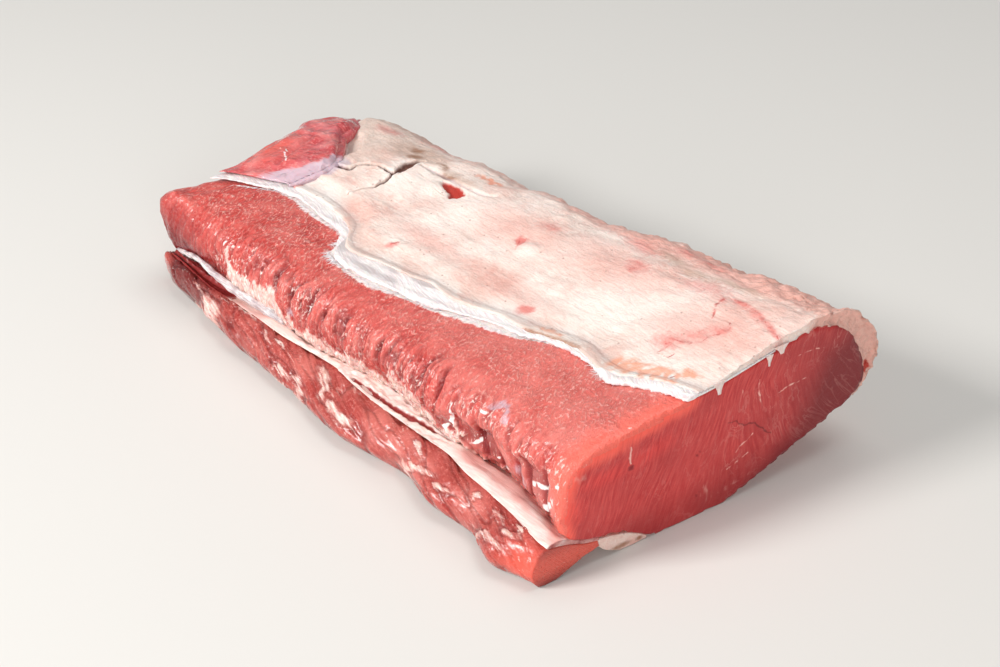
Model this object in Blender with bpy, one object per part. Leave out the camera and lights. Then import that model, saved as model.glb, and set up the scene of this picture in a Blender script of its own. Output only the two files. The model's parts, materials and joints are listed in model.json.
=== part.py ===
"""A boneless veal loin, lying fat side up.

The long axis runs along X, from the rump end (-X) to the knife cut (+X). The side that the bones were
taken from faces -Y, the fat wraps round the flank at +Y, and the meat rests on Z = 0.

The lean eye is a loft whose section changes from the far end to the cut. The white backstrap, the fat
cap and the tip of the rump muscle are shells that lie on the eye's own surface. The side strip is a
second loft that nests under the eye's foot, a seam of fat parts the two, and a pad of fat fills the
hollow underneath. Lengths are in millimetres until the meshes are made.
"""

import bmesh
import bpy
import numpy as np
from mathutils import Vector, noise

MM = 0.001

# ---------------------------------------------------------------- driving dimensions, in millimetres

FAR_X = -152.0  # where the far section stands
NEAR_X = 137.5  # where the cut crosses Y = 0
CUT_SKEW = 0.117  # how far the cut runs towards +X for each millimetre of +Y
TOUCH = 0.3  # the gap between neighbouring pieces
SWELL = 1.3  # the section stays slim near the far end, and swells towards the cut

BACKSTRAP_THICK = 1.5  # along its torn edge
BACKSTRAP_INNER = 0.8  # under the fat
BACKSTRAP_REACH = 30.0  # Y where it ends under the fat
SEAM_UNDER_EYE = 1.1  # the seam where the eye lies on the strip
STRIP_HEIGHT = 16.8
CORD_DIAMETER = 3.4
BUNDLE_DEPTH = 1.5  # of the grooves between the muscle bundles on the boned side
RUMP_COLUMNS = 12  # of the fat's columns, those that the rump tip takes beyond the fat's far edge
EYE_FACES_KEPT = 0.185  # share of the eye's fine mesh that is kept

# The eye's section as named rails round its outline: (Y, Z) at the far end and at the cut.
EYE_RAILS = {
    "heel": ((-66.0, 18.0), (-66.0, 18.4)),
    "side_low": ((-69.0, 25.5), (-69.8, 26.0)),
    "side_high": ((-68.5, 37.0), (-69.5, 40.0)),
    "shoulder": ((-61.5, 46.5), (-63.0, 51.0)),
    "flat": ((-40.0, 49.5), (-38.0, 57.0)),
    "mid_top": ((-2.0, 49.0), (0.0, 59.6)),
    "crest": ((28.0, 50.0), (44.0, 66.8)),
    "roll": ((48.0, 47.0), (66.0, 61.0)),
    "flank": ((60.0, 33.0), (79.0, 38.5)),
    "keel_side": ((55.0, 18.0), (74.5, 25.5)),
    "belly": ((40.0, 8.5), (46.0, 13.6)),
    "foot": ((24.0, 2.0), (20.0, 3.6)),
    "sole_right": ((10.0, -0.9), (4.0, -0.9)),
    "sole_left": ((-20.0, -0.9), (-22.0, -0.9)),
    "toe": ((-31.0, 4.0), (-33.0, 4.4)),
    "instep": ((-41.0, 9.6), (-43.0, 9.8)),
    "cleft": ((-54.0, 12.2), (-56.0, 12.6)),
}
EYE_NAMES = list(EYE_RAILS)
FOLLOWS_FOOT = {"heel": 1.0, "side_low": 0.5, "side_high": 0.1, "cleft": 0.65, "instep": 0.2}
FAR_DROOP = 2.0  # how far the top sinks at the far end

# Outlines along the loin: (X, value).
EYE_FOOT_Y = (
    (-152, -65), (-138, -66), (-86, -65), (-62, -63.5), (-36, -65), (-15, -61.5), (1, -58),
    (18, -56), (32, -59), (52, -60), (75, -61.5), (96, -60), (113, -64), (128, -68), (140, -69),
)
STRIP_EDGE_Y = (
    (-158, -68), (-150, -70.5), (-140, -73.5), (-127, -75), (-115, -75.6), (-103, -77), (-90, -79),
    (-68, -80.5), (-49, -80.2), (-30, -81), (-18, -82.7), (-8, -84), (9, -84.6), (18, -84.3),
    (32, -82), (46, -79.8), (56, -79.6), (66, -83), (75, -83.8), (85, -83.2), (92, -82.6),
    (99, -82.8), (106, -85.0), (113, -88.0), (120, -88.6), (126, -86), (134, -83.6),
)
SEAM_EDGE_Y = (
    (-156, -68), (-137, -69), (-107, -72), (-72, -71), (-51, -71), (-32, -68.5), (-13, -67),
    (-3, -69.5), (18, -71), (43, -70), (66, -69), (80, -72), (98, -73), (116, -75), (126, -77),
    (140, -78),
)
BACKSTRAP_EDGE_Y = (
    (-156, -48), (-148, -46), (-138, -41), (-128, -36), (-113, -28.5), (-97, -26), (-82, -28.5),
    (-60, -31), (-53, -37), (-48, -46.5), (-36, -47), (-20, -46), (-2, -42.5), (12, -42),
    (31, -34.5), (46, -29.5), (58, -29), (68, -23.5), (84, -21), (97, -24), (106, -26),
    (112, -21.5), (121, -16.5), (136, -12),
)
BARE_BACKSTRAP = (
    (-140, 5), (-100, 5.5), (-82, 7.5), (-62, 6), (-52, 5), (-40, 9.5), (-24, 12), (-8, 11),
    (6, 13), (15, 9), (30, 5.5), (58, 4.8), (84, 4.2), (97, 2.6), (104, 5), (118, 5), (136, 4),
)

# Across the loin: (Y, X) of its far end, and of the border between the rump tip and the fat.
FAR_END_X = (
    (-72, -157.5), (-64, -157.5), (-55, -153.5), (-47, -150), (-40, -148), (-30, -147.5),
    (-24, -149), (-12, -152), (2, -153), (12, -157), (21, -157.5), (31, -153.5), (40, -150),
    (50, -148), (66, -146),
)
FAT_START_X = (
    (-34, -106), (-27, -109), (-20, -112), (-12, -107), (-4, -106), (4, -108), (10, -114),
    (16, -121), (22, -129), (31, -132), (38, -136), (43, -146), (47, -158),
)

# Grooves between the muscle bundles on the boned side, and how deep they are along the loin.
GROOVE_X = (
    -108, -96, -84, -72, -60.5, -47.5, -35, -24, -12, 0.5, 14, 25, 40, 52, 62, 73, 86, 94, 102, 113,
    122, 131,
)
GROOVE_STRENGTH = (
    (-118, 0), (-96, 0.5), (-70, 1.0), (40, 1.0), (62, 1.3), (104, 1.6), (118, 1.0), (134, 0.2),
)

# Thickness of the rump tip across the loin, and the swellings of the fat where it turns over the flank.
RUMP_THICK = (
    (-44, 1.2), (-34, 1.8), (-26, 3.0), (-16, 6.0), (-6, 7.6), (4, 8.2), (14, 8.2), (26, 7.2),
    (36, 6.2), (44, 5.8),
)
BACK_SWELL = (
    (-153, 1.7), (-133, 1.2), (-114, 0.4), (-104, -1.2), (-86, -0.5), (-76, 1.6), (-60, 2.7),
    (-50, 2.3), (-34, -0.4), (-25, 0.7), (-17, 2.2), (-8, 2.2), (0, 0.4), (23, -0.7), (30, 1.4),
    (38, 0.7), (52, 1.4), (66, 1.4), (73, 0.4), (80, 1.4), (93, 0.0), (106, 1.3), (114, 1.9),
    (124, 0.4), (133, -2.2), (139, -1.4), (145, 0.6), (156, 0.8),
)

# Thickness of the fat: for each station X, its value at the rail positions below.
FAT_AT_T = (3.5, 5.0, 5.5, 6.0, 6.5, 7.0, 7.5, 7.8, 8.1, 8.4, 8.9, 9.4)
FAT_THICK = {
    -156: (1.8, 3.0, 3.6, 4.0, 4.4, 4.6, 4.4, 4.2, 4.0, 3.6, 2.4, 2.0),
    -112: (1.8, 3.2, 4.2, 4.8, 5.6, 6.4, 6.4, 5.6, 4.6, 4.0, 2.4, 2.0),
    -96: (1.8, 3.4, 4.4, 4.8, 5.4, 6.2, 6.2, 5.6, 4.6, 4.0, 2.4, 2.0),
    -80: (1.8, 3.4, 4.4, 4.4, 4.0, 3.6, 3.6, 3.6, 3.6, 3.4, 2.4, 2.0),
    0: (1.6, 3.2, 4.2, 4.4, 4.2, 3.8, 3.8, 3.8, 3.8, 3.4, 2.4, 2.0),
    26: (1.6, 3.0, 4.0, 4.2, 3.8, 3.8, 4.0, 4.2, 4.2, 3.8, 2.4, 2.0),
    40: (1.6, 2.8, 3.8, 4.2, 3.4, 5.6, 7.0, 7.0, 6.0, 4.6, 2.4, 2.0),
    68: (1.6, 2.4, 3.6, 4.4, 3.0, 5.8, 7.6, 7.6, 6.4, 4.8, 2.4, 2.0),
    84: (1.6, 2.2, 3.4, 4.4, 3.2, 5.4, 7.0, 7.4, 6.6, 4.8, 2.4, 2.0),
    98: (1.5, 2.0, 3.4, 4.6, 3.8, 7.0, 9.0, 9.0, 7.6, 4.8, 2.2, 1.6),
    122: (1.4, 1.6, 3.2, 4.8, 5.0, 7.2, 9.0, 9.2, 7.6, 4.0, 1.8, 1.4),
    140: (1.2, 1.3, 3.2, 5.0, 6.2, 8.3, 10.4, 10.8, 8.2, 3.2, 1.3, 1.2),
}


# ---------------------------------------------------------------- small curves

def eased(value, low, high):
    """0 below low, 1 above high, and a smooth step between."""
    share = np.clip((value - low) / (high - low), 0.0, 1.0)
    return share * share * (3.0 - 2.0 * share)


def along(points, x):
    """The value at x of the line through (x, value) points."""
    table = np.array(points, float)
    return np.interp(x, table[:, 0], table[:, 1])


def on_curve(rails, t):
    """(Y, Z) at position t of the closed Catmull-Rom curve through each station's own rails."""
    index = np.floor(t).astype(int)
    f = (t - index)[:, None]
    rows = np.arange(len(t))
    p0, p1, p2, p3 = (rails[rows, (index + k) % rails.shape[1]] for k in (-1, 0, 1, 2))
    straight, bend, twist = p2 - p0, 2 * p0 - 5 * p1 + 4 * p2 - p3, 3 * (p1 - p2) + p3 - p0
    return 0.5 * (2 * p1 + straight * f + bend * f**2 + twist * f**3)


def outline_point(rails_at, x, t, offset=0.0):
    """(X, Y, Z) on an outline at stations x and rail positions t, moved outwards by offset."""
    x, t, offset = (np.asarray(v, float) for v in np.broadcast_arrays(x, t, offset))
    shape = x.shape
    x, t, offset = x.ravel(), t.ravel(), offset.ravel()
    rails = rails_at(x)
    here, after, before = (on_curve(rails, t + step) for step in (0.0, 0.02, -0.02))
    slope = (after - before) / np.linalg.norm(after - before, axis=1, keepdims=True)
    outwards = np.stack([-slope[:, 1], slope[:, 0]], axis=1)
    spot = here + outwards * offset[:, None]
    return np.column_stack([x, spot]).reshape(shape + (3,))


def lumps(points, size, seed):
    """Smooth noise, about -1 to 1, at each point; size is the width of a lump."""
    shift = Vector((seed * 17.3, seed * 5.9, seed * 11.1))
    values = [noise.noise(Vector(p) / size + shift) for p in points.reshape(-1, 3)]
    return 1.6 * np.array(values).reshape(points.shape[:-1])


def spread(low, high, count, crowding=0.11):
    """Values from low to high that stand closer together near both ends."""
    share = np.linspace(0.0, 1.0, count)
    return low + (high - low) * (share - crowding * np.sin(2.0 * np.pi * share))


def cut_x(y):
    """X of the knife cut at y."""
    return NEAR_X + CUT_SKEW * y


def between_ends(points, share, near_gap=0.0, far_gap=0.0):
    """Places points along the loin by their share of the way from the far end to the cut."""
    low = along(FAR_END_X, points[..., 1]) + far_gap
    points[..., 0] = low + (cut_x(points[..., 1]) - near_gap - low) * share
    return points


# ---------------------------------------------------------------- the eye's surface

def eye_rails(x):
    """The eye's rails at stations x; its foot follows the edge of the seam."""
    far, near = (np.array([pair[end] for pair in EYE_RAILS.values()], float) for end in (0, 1))
    share = np.clip((x - FAR_X) / (NEAR_X - FAR_X), 0.0, 1.1) ** SWELL
    rails = far + (near - far) * share[:, None, None]
    shift = along(EYE_FOOT_Y, x) + 66.0
    for name, follows in FOLLOWS_FOOT.items():
        rails[:, EYE_NAMES.index(name), 0] += follows * shift
    droop = FAR_DROOP * (1.0 - eased(x, FAR_X - 6.0, FAR_X + 16.0))
    rails[:, :, 1] -= droop[:, None] * eased(rails[:, :, 1], 30.0, 48.0)
    return rails


def on_eye(x, t, offset=0.0):
    return outline_point(eye_rails, x, t, offset)


def t_at_y(x, y):
    """The rail position on the eye's upper side where its outline passes y, at each station x."""
    t = np.linspace(2.4, 7.6, 140)
    outlines = on_eye(x[:, None], t[None, :])[..., 1]
    return np.array([np.interp(wanted, outline, t) for wanted, outline in zip(y, outlines)])


def side_relief(points, t):
    """How far the boned side stands in or out: muscle bundles, and the hollows beside the seam."""
    x, z = points[..., 0], points[..., 2]
    on_side = eased(t, 0.15, 0.9) * (1.0 - eased(t, 2.7, 3.7))
    leaning = x - 0.12 * (z - 35.0) + 1.2 * np.sin(z / 7.0 + x / 9.0)
    grooves = np.array(GROOVE_X, float)
    index = np.clip(np.searchsorted(grooves, leaning) - 1, 0, len(grooves) - 2)
    share = np.clip((leaning - grooves[index]) / (grooves[index + 1] - grooves[index]), 0.0, 1.0)
    bundles = 0.35 - np.abs(2.0 * share - 1.0) ** 2.4
    hollow = 5.0 * np.exp(-(((x - 92.0) / 25.0) ** 2) - ((z - 31.0) / 10.5) ** 2)
    hollow += 2.6 * np.exp(-(((x - 26.0) / 26.0) ** 2) - ((z - 27.0) / 8.0) ** 2)
    hollow += 2.4 * np.exp(-(((x + 126.0) / 18.0) ** 2) - ((z - 23.0) / 5.0) ** 2)
    return on_side * (BUNDLE_DEPTH * along(GROOVE_STRENGTH, x) * bundles - hollow)


def top_relief(points, t):
    """Low undulations of the bare lean between the boned side and the backstrap."""
    bare = eased(t, 2.4, 3.2) * (1.0 - eased(t, 3.9, 4.4))
    return bare * 0.8 * lumps(points, 22.0, 1)


def height_over_eye(points, t):
    """Clearance that a covering piece needs over the undulations of the lean."""
    return TOUCH + np.maximum(top_relief(points, t), 0.0)


# ---------------------------------------------------------------- meshes

def make_material(name, colour, roughness):
    material = bpy.data.materials.new(name)
    material.use_nodes = True
    shader = material.node_tree.nodes["Principled BSDF"]
    shader.inputs["Base Color"].default_value = (*colour, 1.0)
    shader.inputs["Roughness"].default_value = roughness
    shader.inputs["Metallic"].default_value = 0.0
    return material


def make_object(name, vertices, faces, colour, roughness):
    """A mesh object named for its piece, with its own material."""
    mesh = bpy.data.meshes.new(name)
    mesh.from_pydata([Vector(v) * MM for v in vertices], [], faces)
    shape = bmesh.new()
    shape.from_mesh(mesh)
    bmesh.ops.recalc_face_normals(shape, faces=shape.faces)
    shape.to_mesh(mesh)
    shape.free()
    mesh.shade_smooth()
    mesh.materials.append(make_material(name, colour, roughness))
    obj = bpy.data.objects.new(name, mesh)
    bpy.data.collections["veal_loin"].objects.link(obj)
    return obj


def loft(name, rings, colour, roughness):
    """Closed rings of points joined one to the next, with a flat cap on the first and the last."""
    stations, around = rings.shape[:2]
    index = np.arange(stations * around).reshape(stations, around)
    following = np.roll(index, -1, axis=1)
    quads = np.stack([index[:-1], following[:-1], following[1:], index[1:]], axis=-1).reshape(-1, 4)
    faces = quads.tolist() + [index[0, ::-1].tolist(), index[-1].tolist()]
    return make_object(name, rings.reshape(-1, 3), faces, colour, roughness)


def shell(name, inner, outer, colour, roughness):
    """A slab between two grids of points that match, closed along its four edges."""
    rows, columns = inner.shape[:2]
    below = np.arange(rows * columns).reshape(rows, columns)
    above = below + rows * columns
    under = np.stack([below[:-1, :-1], below[:-1, 1:], below[1:, 1:], below[1:, :-1]], axis=-1)
    over = np.stack([above[:-1, :-1], above[1:, :-1], above[1:, 1:], above[:-1, 1:]], axis=-1)
    rim = np.concatenate([below[:, 0], below[-1, 1:], below[-2::-1, -1], below[0, -2:0:-1]])
    after = np.roll(rim, -1)
    sides = np.stack([rim, after, after + rows * columns, rim + rows * columns], axis=-1)
    faces = under.reshape(-1, 4).tolist() + over.reshape(-1, 4).tolist() + sides.tolist()
    vertices = np.concatenate([inner.reshape(-1, 3), outer.reshape(-1, 3)])
    return make_object(name, vertices, faces, colour, roughness)


def rounded_end(ring, steps):
    """Rings that close an end in a low dome; a step is (share of the ring's size, X moved out)."""
    middle = ring.mean(axis=0)
    rings = []
    for size, out in steps:
        drawn = middle + (ring - middle) * size
        flatter = eased(1.0 - size, 0.0, 0.7)
        drawn[:, 0] = ring[:, 0] + (middle[0] - ring[:, 0]) * flatter - out
        rings.append(drawn)
    return np.array(rings)


# ---------------------------------------------------------------- the lean eye

def even_positions(x, low, high, count):
    """Rail positions from low to high, evenly apart along the eye's outline at station x."""
    t = np.linspace(low, high, 900)
    outline = on_eye(np.full(len(t), x), t)[:, 1:]
    length = np.concatenate([[0.0], np.cumsum(np.linalg.norm(np.diff(outline, axis=0), axis=1))])
    return np.interp(np.linspace(0.0, length[-1], count), length, t)


def build_eye():
    """The lean eye: the loin's own muscle, bare on the boned side, at both ends and underneath."""
    t = even_positions(NEAR_X, 0.0, float(len(EYE_RAILS)), 97)[:-1]
    rings = []
    for share in spread(0.0, 1.0, 140, 0.05):
        x = FAR_X + (NEAR_X - FAR_X) * share
        flat = on_eye(np.full(len(t), x), t)
        raised = on_eye(flat[:, 0], t, side_relief(flat, t) + top_relief(flat, t))
        rings.append(between_ends(raised, share, far_gap=6.5))
    dome = rounded_end(rings[0], ((0.3, 6.6), (0.7, 6.6), (0.92, 6.4), (0.965, 5.3), (0.988, 3.2)))
    rings = np.concatenate([dome, np.array(rings)])
    rings[..., 2] = np.maximum(rings[..., 2], 0.0)
    eye = loft("loin_eye", rings, (0.55, 0.09, 0.08), 0.42)
    fewer = eye.modifiers.new("fewer_faces", "DECIMATE")
    fewer.ratio = EYE_FACES_KEPT
    return eye


# ---------------------------------------------------------------- pieces that lie on the eye

def patch(x_low, x_high, t_low, t_high, rows, columns):
    """A grid on the eye whose ends are functions of Y and whose sides are functions of X.

    columns holds the shares at which its lines stand from one side to the other.
    """
    shares = spread(0.0, 1.0, rows, 0.06)
    xs, ts = np.empty((rows, len(columns))), np.empty((rows, len(columns)))
    for j, across in enumerate(columns):
        x = FAR_X + (NEAR_X - FAR_X) * shares
        for _ in range(40):
            t = t_low(x) + (t_high(x) - t_low(x)) * across
            y = on_eye(x, t)[:, 1]
            x = 0.5 * x + 0.5 * (x_low(y) + (x_high(y) - x_low(y)) * shares)
        xs[:, j], ts[:, j] = x, t
    return xs, ts, shares


def lifted(xs, ts, shares, height):
    """The grid's points at a height over the eye, with their ends kept in the plane of the cut."""
    base, points = on_eye(xs, ts), on_eye(xs, ts, height)
    points[..., 0] += CUT_SKEW * (points[..., 1] - base[..., 1]) * shares[:, None]
    return points


def rim_taper(shape, first_row, last_row, first_column, last_column):
    """1 inside a grid, falling to a thin rim over its outermost rows and columns."""
    taper = np.ones(shape)
    for axis, (low, high) in enumerate(((first_row, last_row), (first_column, last_column))):
        profile = np.ones(shape[axis])
        profile[0], profile[-1] = low, high
        profile[1], profile[-2] = (2.0 + low) / 3.0, (2.0 + high) / 3.0
        taper *= profile[:, None] if axis == 0 else profile[None, :]
    return taper


def bare_edge_y(x):
    """Y of the fat's edge, where the bare backstrap ends."""
    return along(BACKSTRAP_EDGE_Y, x) + along(BARE_BACKSTRAP, x)


def backstrap_thickness(x, y):
    inner = eased(y - bare_edge_y(x), -1.0, 5.0)
    return BACKSTRAP_THICK + (BACKSTRAP_INNER - BACKSTRAP_THICK) * inner


def build_backstrap():
    """The white sheet on the eye's top: torn along one edge, and under the fat and the rump tip."""
    xs, ts, shares = patch(
        lambda y: along(FAR_END_X, y) + 2.0,
        cut_x,
        lambda x: t_at_y(x, along(BACKSTRAP_EDGE_Y, x)),
        lambda x: t_at_y(x, np.full(len(x), BACKSTRAP_REACH)),
        48,
        spread(0.0, 1.0, 6, 0.03),
    )
    base = on_eye(xs, ts)
    lift = height_over_eye(base, ts)
    thick = backstrap_thickness(base[..., 0], base[..., 1]) * rim_taper(xs.shape, 0.8, 1.0, 0.75, 0.5)
    inner, outer = lifted(xs, ts, shares, lift), lifted(xs, ts, shares, lift + thick)
    return shell("backstrap", inner, outer, (0.82, 0.78, 0.76), 0.35)


def over_backstrap(xs, ts):
    """Height over the eye at which a piece lies: on the backstrap, and past its edge on the eye."""
    base = on_eye(xs, ts)
    on_it = 1.0 - eased(base[..., 1], BACKSTRAP_REACH + 0.5, BACKSTRAP_REACH + 8.0)
    thick = backstrap_thickness(base[..., 0], base[..., 1])
    return height_over_eye(base, ts) + on_it * (thick + TOUCH)


def fat_thickness(xs, ts):
    """Thickness of the fat cap from its table, with low lumps."""
    stations = np.array(list(FAT_THICK), float)
    table = np.array(list(FAT_THICK.values()), float)
    by_station = np.stack([np.interp(ts.ravel(), FAT_AT_T, row) for row in table])
    thick = [np.interp(x, stations, by_station[:, i]) for i, x in enumerate(xs.ravel())]
    thick = np.array(thick).reshape(xs.shape)
    points = on_eye(xs, ts)
    calm = 1.0 - 0.7 * eased(points[..., 0], 118.0, 136.0)
    uneven = calm * (0.6 * lumps(points, 25.0, 3) + 0.35 * lumps(points, 11.0, 4))
    swell = along(BACK_SWELL, points[..., 0]) * eased(ts, 6.1, 6.7) * (1.0 - eased(ts, 7.5, 8.3))
    return np.maximum(thick + swell + uneven, 0.9)


FAT_COLUMNS = spread(0.0, 1.0, 22, 0.03)


def fat_side_low(x):
    return t_at_y(x, bare_edge_y(x))


def fat_side_high(x):
    """The rail position where the fat ends under the flank."""
    return 9.15 - 0.25 * eased(x, 90.0, 130.0) + 0.1 * np.sin(x / 17.0)


def build_fat_cap():
    """The cream fat on the loin's back, which wraps round the flank."""
    xs, ts, shares = patch(
        lambda y: np.maximum(along(FAT_START_X, y), along(FAR_END_X, y) + 3.0) + TOUCH,
        cut_x,
        fat_side_low,
        fat_side_high,
        42,
        FAT_COLUMNS,
    )
    lift = over_backstrap(xs, ts)
    thick = fat_thickness(xs, ts) * rim_taper(xs.shape, 0.6, 1.0, 0.7, 0.6)
    inner, outer = lifted(xs, ts, shares, lift), lifted(xs, ts, shares, lift + thick)
    return shell("fat_cap", inner, outer, (0.80, 0.62, 0.50), 0.5)


def build_rump_tip():
    """The tip of the rump muscle: on the backstrap at the far end, between its edge and the fat."""
    xs, ts, shares = patch(
        lambda y: along(FAR_END_X, y) + 1.5,
        lambda y: along(FAT_START_X, y) - TOUCH,
        fat_side_low,
        fat_side_high,
        10,
        FAT_COLUMNS[:RUMP_COLUMNS],
    )
    points = on_eye(xs, ts)
    thick = along(RUMP_THICK, points[..., 1]) + 0.7 * lumps(points, 15.0, 6)
    thick *= rim_taper(xs.shape, 0.55, 0.75, 0.5, 0.75)
    lift = over_backstrap(xs, ts)
    inner, outer = lifted(xs, ts, shares * 0.0, lift), lifted(xs, ts, shares * 0.0, lift + thick)
    return shell("rump_tip", inner, outer, (0.50, 0.07, 0.07), 0.3)


# ---------------------------------------------------------------- the side strip and what lies beside it

def strip_rails(x):
    """The strip's rails: an outer face, a shelf under the seam, and a tail under the eye."""
    outer, brow = along(STRIP_EDGE_Y, x), along(SEAM_EDGE_Y, x)
    under_eye = TOUCH * 2.0 + SEAM_UNDER_EYE
    shelf, wedge, back = (on_eye(x, np.full(len(x), t), under_eye)[:, 1:] for t in (-0.35, -0.9, -1.4))
    sunk = 3.0 * (1.0 - eased(x, -118.0, -88.0))
    flat = np.zeros(len(x))
    rails = [
        np.stack([outer + 3.6, flat + 0.1], axis=1),
        np.stack([outer, flat + 6.5], axis=1),
        np.stack([outer + 0.30 * (brow - outer), flat + 12.6], axis=1),
        np.stack([brow, flat + STRIP_HEIGHT - 0.4 * sunk], axis=1),
        shelf - np.stack([flat, sunk * 0.8], axis=1),
        wedge,
        back,
        np.stack([back[:, 0] + 0.4, flat + 7.0], axis=1),
        np.stack([flat - 59.5, flat + 5.4], axis=1),
        np.stack([flat - 66.5, flat + 2.4], axis=1),
        np.stack([0.5 * (outer - 66.5), flat - 1.1], axis=1),
    ]
    return np.stack(rails, axis=1)


def on_strip(x, t, offset=0.0):
    return outline_point(strip_rails, x, t, offset)


def build_side_strip():
    """The chain muscle along the foot of the boned side."""
    t = np.array([0.0, 0.5, 1.0, 1.5, 2.0, 2.5, 3.0, 3.35, 4.0, 5.0, 6.0, 7.0, 8.0, 9.0, 9.6, 10.4])
    rings = []
    for share in spread(0.0, 1.0, 46, 0.05):
        x = FAR_X + (NEAR_X - FAR_X) * share
        points = on_strip(np.full(len(t), x), t)
        face = eased(t, 0.2, 1.0) * (1.0 - eased(t, 2.0, 2.8))
        points[:, 1] -= face * (0.9 * lumps(points, 13.0, 8) + 0.5 * np.sin(x / 8.5))
        rings.append(between_ends(points, share, far_gap=4.0))
    dome = rounded_end(rings[0], ((0.35, 3.4), (0.72, 2.6), (0.9, 1.2)))
    rings = np.concatenate([dome, np.array(rings)])
    rings[..., 2] = np.maximum(rings[..., 2], 0.0)
    return loft("side_strip", rings, (0.52, 0.09, 0.08), 0.42)


def build_seam_fat():
    """The white seam between the eye and the side strip: it shows on the shelf that the strip makes."""
    on_shelf = np.array([3.12, 3.45, 3.8, 4.3, 5.0, 5.6, 6.0])
    under_eye = np.array([-0.08, -0.5, -0.95, -1.4])
    inner, outer = [], []
    for share in spread(0.0, 1.0, 42, 0.05):
        x = FAR_X + (NEAR_X - FAR_X) * share
        bottom = on_strip(np.full(7, x), on_shelf, TOUCH)
        covered = on_eye(np.full(4, x), under_eye, TOUCH + 0.15)
        proud = 0.45 + 0.55 * float(eased(x, -106.0, -66.0))
        rim, foot = bottom[0] + (0.0, 0.0, 0.45), covered[0]
        bare = [rim + (foot - rim) * s + (0.0, 0.0, b * proud) for s, b in ((0.3, 1.0), (0.68, 1.1))]
        top = np.array([rim, *bare, *covered])
        top[1:3, 2] = np.maximum(top[1:3, 2] - (1.0 - proud) * 4.0, bottom[1:3, 2] + 0.6)
        inner.append(between_ends(bottom, share, far_gap=5.0))
        outer.append(between_ends(top, share, far_gap=5.0))
    return shell("seam_fat", np.array(inner), np.array(outer), (0.80, 0.68, 0.62), 0.4)


def build_silver_cord():
    """The silvery tendon that lies along the foot of the eye near the far end."""
    curve = bpy.data.curves.new("silver_cord", "CURVE")
    curve.dimensions = "3D"
    curve.bevel_depth = CORD_DIAMETER / 2.0 * MM
    curve.bevel_resolution = 2
    curve.use_fill_caps = True
    spline = curve.splines.new("POLY")
    spline.points.add(12)
    xs = np.linspace(-142.0, -60.0, 13)
    for point, x in zip(spline.points, xs):
        slim = 0.5 + 0.5 * float(eased(x, -142.0, -104.0)) - 0.35 * float(eased(x, -74.0, -60.0))
        rise = 0.58 + 0.06 * np.sin(x / 9.0)
        spot = on_eye(np.array([x]), np.array([rise]), TOUCH + CORD_DIAMETER / 2.0 * slim + 0.35)[0]
        point.co = (*(spot * MM), 1.0)
        point.radius = slim
    obj = bpy.data.objects.new("silver_cord", curve)
    bpy.data.collections["veal_loin"].objects.link(obj)
    curve.materials.append(make_material("silver_cord", (0.70, 0.66, 0.66), 0.3))
    return obj


def build_underside_fat():
    """The fat that fills the hollow under the eye, and shows at the foot of the cut."""
    t = np.array([-1.62, -1.85, -2.1, -2.5, -3.0, -3.5])
    rings = []
    for share in spread(0.0, 1.0, 22, 0.05):
        x = FAR_X + 12.0 + (NEAR_X - FAR_X - 12.0) * share
        top = on_eye(np.full(len(t), x), t, TOUCH)
        left, right = top[0, 1], top[-1, 1]
        flat = ((right - 0.6, 0.0), (right - 7.0, 0.0), (left + 8.6, 0.0))
        side = ((left + 4.2, 3.2), (left + 0.3, 7.2))
        points = np.concatenate([top, [(x, y, z) for y, z in flat + side]])
        points[:, 2] = np.maximum(points[:, 2], 0.0)
        rings.append(between_ends(points, share, far_gap=10.0))
    return loft("underside_fat", np.array(rings), (0.78, 0.60, 0.48), 0.5)


# ---------------------------------------------------------------- the whole loin

def centre_on_floor(objects):
    """Moves the whole loin so that its box is centred on X = Y = 0 and stands on Z = 0."""
    bpy.context.view_layer.update()
    corners = np.array([obj.matrix_world @ Vector(c) for obj in objects for c in obj.bound_box])
    middle = (corners.min(axis=0) + corners.max(axis=0)) / 2.0
    for obj in objects:
        obj.location -= Vector((middle[0], middle[1], corners.min(axis=0)[2]))


def main():
    for obj in list(bpy.data.objects):
        bpy.data.objects.remove(obj)
    collection = bpy.data.collections.new("veal_loin")
    bpy.context.scene.collection.children.link(collection)
    pieces = [
        build_eye(),
        build_backstrap(),
        build_fat_cap(),
        build_rump_tip(),
        build_side_strip(),
        build_seam_fat(),
        build_silver_cord(),
        build_underside_fat(),
    ]
    centre_on_floor(pieces)


main()
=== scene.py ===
"""The looks of a raw boneless veal loin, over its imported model.

Each solid of the model gets a finely modelled piece that stands for it: the muscle bundles, fibres,
torn edges and cracks are in the mesh, and the finer grain is in the materials. Points are worked on in
millimetres, in the model's own frame.
"""

import json
import math

import bpy
import numpy as np
from bpy.props import FloatProperty, FloatVectorProperty, PointerProperty
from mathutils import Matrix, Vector
from mathutils.bvhtree import BVHTree

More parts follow.
